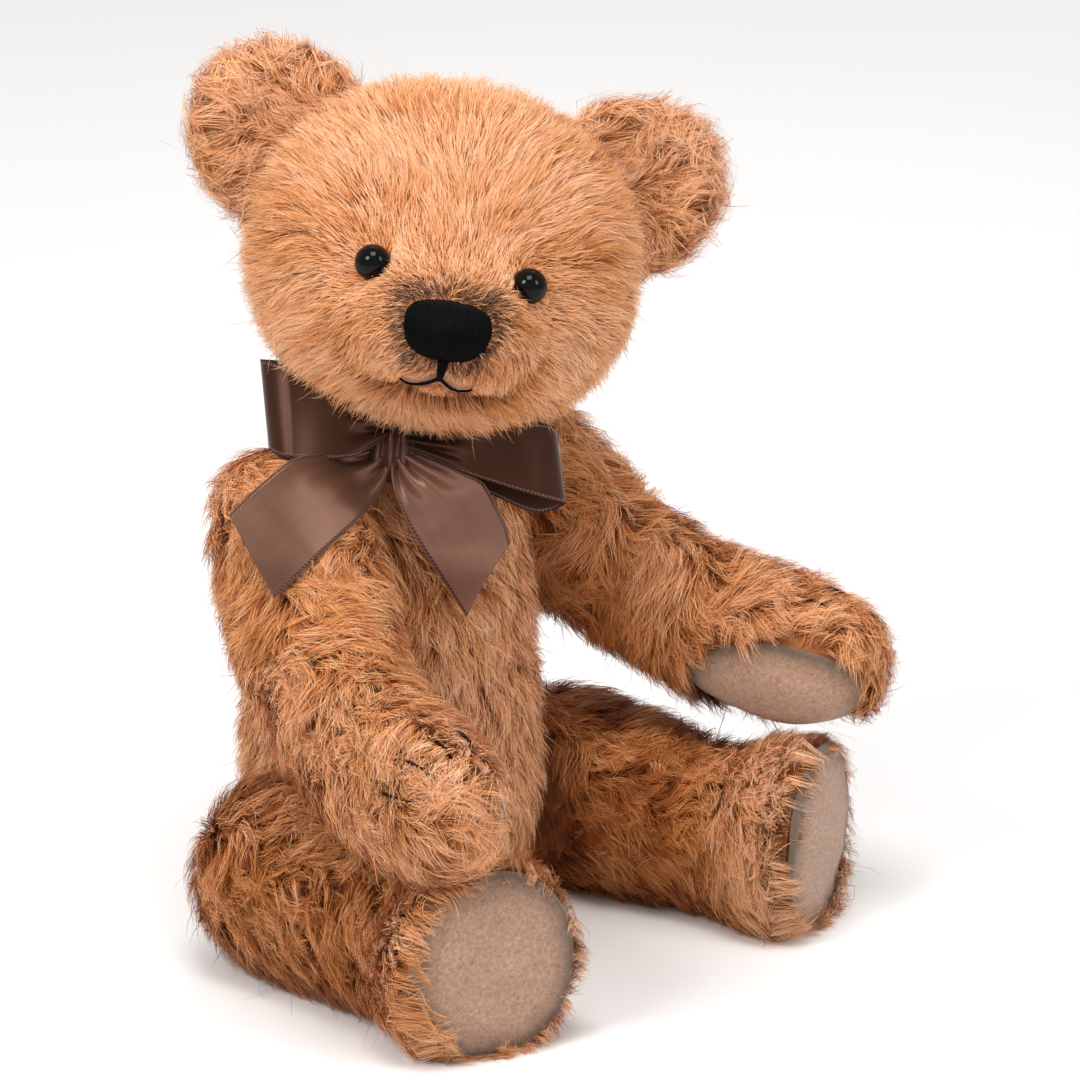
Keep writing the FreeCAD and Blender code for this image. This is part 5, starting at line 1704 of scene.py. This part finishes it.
# ---- arms and legs
for sd, nm in ((1, "left"), (-1, "right")):
    limb = ARMS[nm]
    flow, where = limb_flow(limb, 0.55, 0.35)
    c, mdir, lon, lat = PADS[nm]

    def pad_r(P, tree=PAD_TREE[nm]):
        """1 at the felt's edge, more beside it"""
        out = np.full(len(P), 2.0)
        for i, q in enumerate(P.tolist()):
            hit = tree.find_nearest(q, 14.0)
            if hit[0] is not None:
                out[i] = 1 + (hit[3] - 1.9) / 17.0
        return out

    def a_len(P, N, where=where, pad_r=pad_r):
        s = where(P)
        l = 14.0 + 3.0 * smooth(s, 108, 124)
        r = pad_r(P)
        return np.where(r < 1.25, np.minimum(l, 4.0 + 22 * np.clip(r - 1, 0, None)), l)

    def a_ht(P, N, where=where, pad_r=pad_r):
        r = pad_r(P)
        h = np.full(len(P), 6.3)
        return np.where(r < 1.25, np.minimum(h, 2.4 + 14 * np.clip(r - 1, 0, None)), h)
    a_off = off_flats(["shoulder_" + nm], 19.0)

    def a_keep(P, N, pad_r=pad_r, a_off=a_off):
        return np.where(pad_r(P) < 1.0, 0.0, 1.0) * np.maximum(a_off(P), 0.04)

    def a_dusk(P, pad_r=pad_r):
        r = pad_r(P)
        return 0.5 * np.exp(-(np.clip(r - 1, 0, None) / 0.06) ** 2)
    def a_bias(P, N, where=where, nm=nm):
        s = where(P)
        # painted light and shade: the left arm is darker overall and paler where it faces up; both arms grow paler
        # towards the paw
        return (2.05 + 0.7 * smooth(s, 70, 112)) if nm == "right" else (1.05 + 1.0 * smooth(N[:, 2], 0.1, 0.8) + 0.5 * smooth(s, 70, 110))
    # painted shade: more locks of the painted-shade row on the undersides, most on the left arm
    coat("arm_" + nm, 3.5, 12, a_len, a_ht, flow, a_bias, 305 + (nm == "left"), spread=1.25, tight=0.60, width=0.17, curl=0.36, frizz=0.52, weight=a_keep,
         others=("torso", "head"), dusk=a_dusk, covers=COVERS if nm == "right" else (), claws="arm_" + nm,
         dark=lambda P, N, nm=nm: (0.08 if nm == "right" else 0.18) + 0.25 * smooth(-N[:, 2], 0.0, 0.7))
    # legs
    limb = LEGS[nm]
    flow, where = limb_flow(limb, 0.5, 0.2)
    l_off = off_flats(["hip_" + nm], 24.0)
    cs, tgs, ups, ws, tws, hs, bs = limb.mid(SOLE_S)

    def l_keep(P, N, l_off=l_off, cs=cs, tws=tws):
        return np.where(((P - cs) @ tws > -1.2) & (N @ tws > 0.6), 0.0, 1.0) * np.maximum(l_off(P), 0.04)

    def l_len(P, N, where=where):
        s = where(P)
        return 14.0 - 7.5 * smooth(s, 80, 91)

    def l_ht(P, N, where=where):
        return 6.3 + 0.4 * smooth(where(P), 70, 90)

    def l_dusk(P, cs=cs, tws=tws):
        return 0.45 * np.exp(-(np.abs((P - cs) @ tws) / 1.6) ** 2)

    def l_flow(P, N, flow=flow, cs=cs, tws=tws):
        return flow(P, N)
    def l_bias(P, N, where=where, nm=nm):
        # painted light and shade: the left leg is darker near the body, both legs paler towards the foot and where they
        # face up
        return (0.75 if nm == "right" else 0.2) + (1.55 if nm == "right" else 3.4) * smooth(where(P), 54, 82) + 0.5 * smooth(N[:, 2], 0.2, 0.9)
    # painted shade: locks of the painted-shade row on the upper legs near the body, most on the left leg, fading
    # towards the foot
    coat("leg_" + nm, 3.4, 12, l_len, l_ht, l_flow, l_bias, 307 + (nm == "left"), spread=1.25, tight=0.62, width=0.17, curl=0.38, frizz=0.55, weight=l_keep,
         others=("torso",), dusk=l_dusk, claws="leg_" + nm,
         dark=lambda P, N, nm=nm, where=where: (0.44 if nm == "right" else 0.80) * (1 - 0.96 * smooth(where(P), 52, 78)))

print("strands", COUNT["strands"])

# =============================================================================
# floor
# =============================================================================
n = 64
ang = 2 * np.pi * np.arange(n) / n
rings = [0.0, 400.0, 1500.0, 9000.0]
V = [[0, 0, 0]] + [[r * math.cos(a), r * math.sin(a), 0] for r in rings[1:] for a in ang]
tri = [[0, 1 + i, 1 + (i + 1) % n] for i in range(n)]
quads = [[1 + k * n + i, 1 + (k + 1) * n + i, 1 + (k + 1) * n + (i + 1) % n, 1 + k * n + (i + 1) % n] for k in range(2) for i in range(n)]
mt, nt, b = new_material("floor_paper")
nz = noise_tex(nt, 3.0, 3.0, 0.5, 0.0, objcoord(nt))
c = mixc(nt, (0.86, 0.855, 0.85, 1), (0.90, 0.895, 0.89, 1), nz.outputs[0])
nt.links.new(c, b.inputs["Base Color"])
put(b, rough=0.7, spec=0.2)
floor = raw_mesh("floor", V, [np.array(tri), np.array(quads)], [mt])
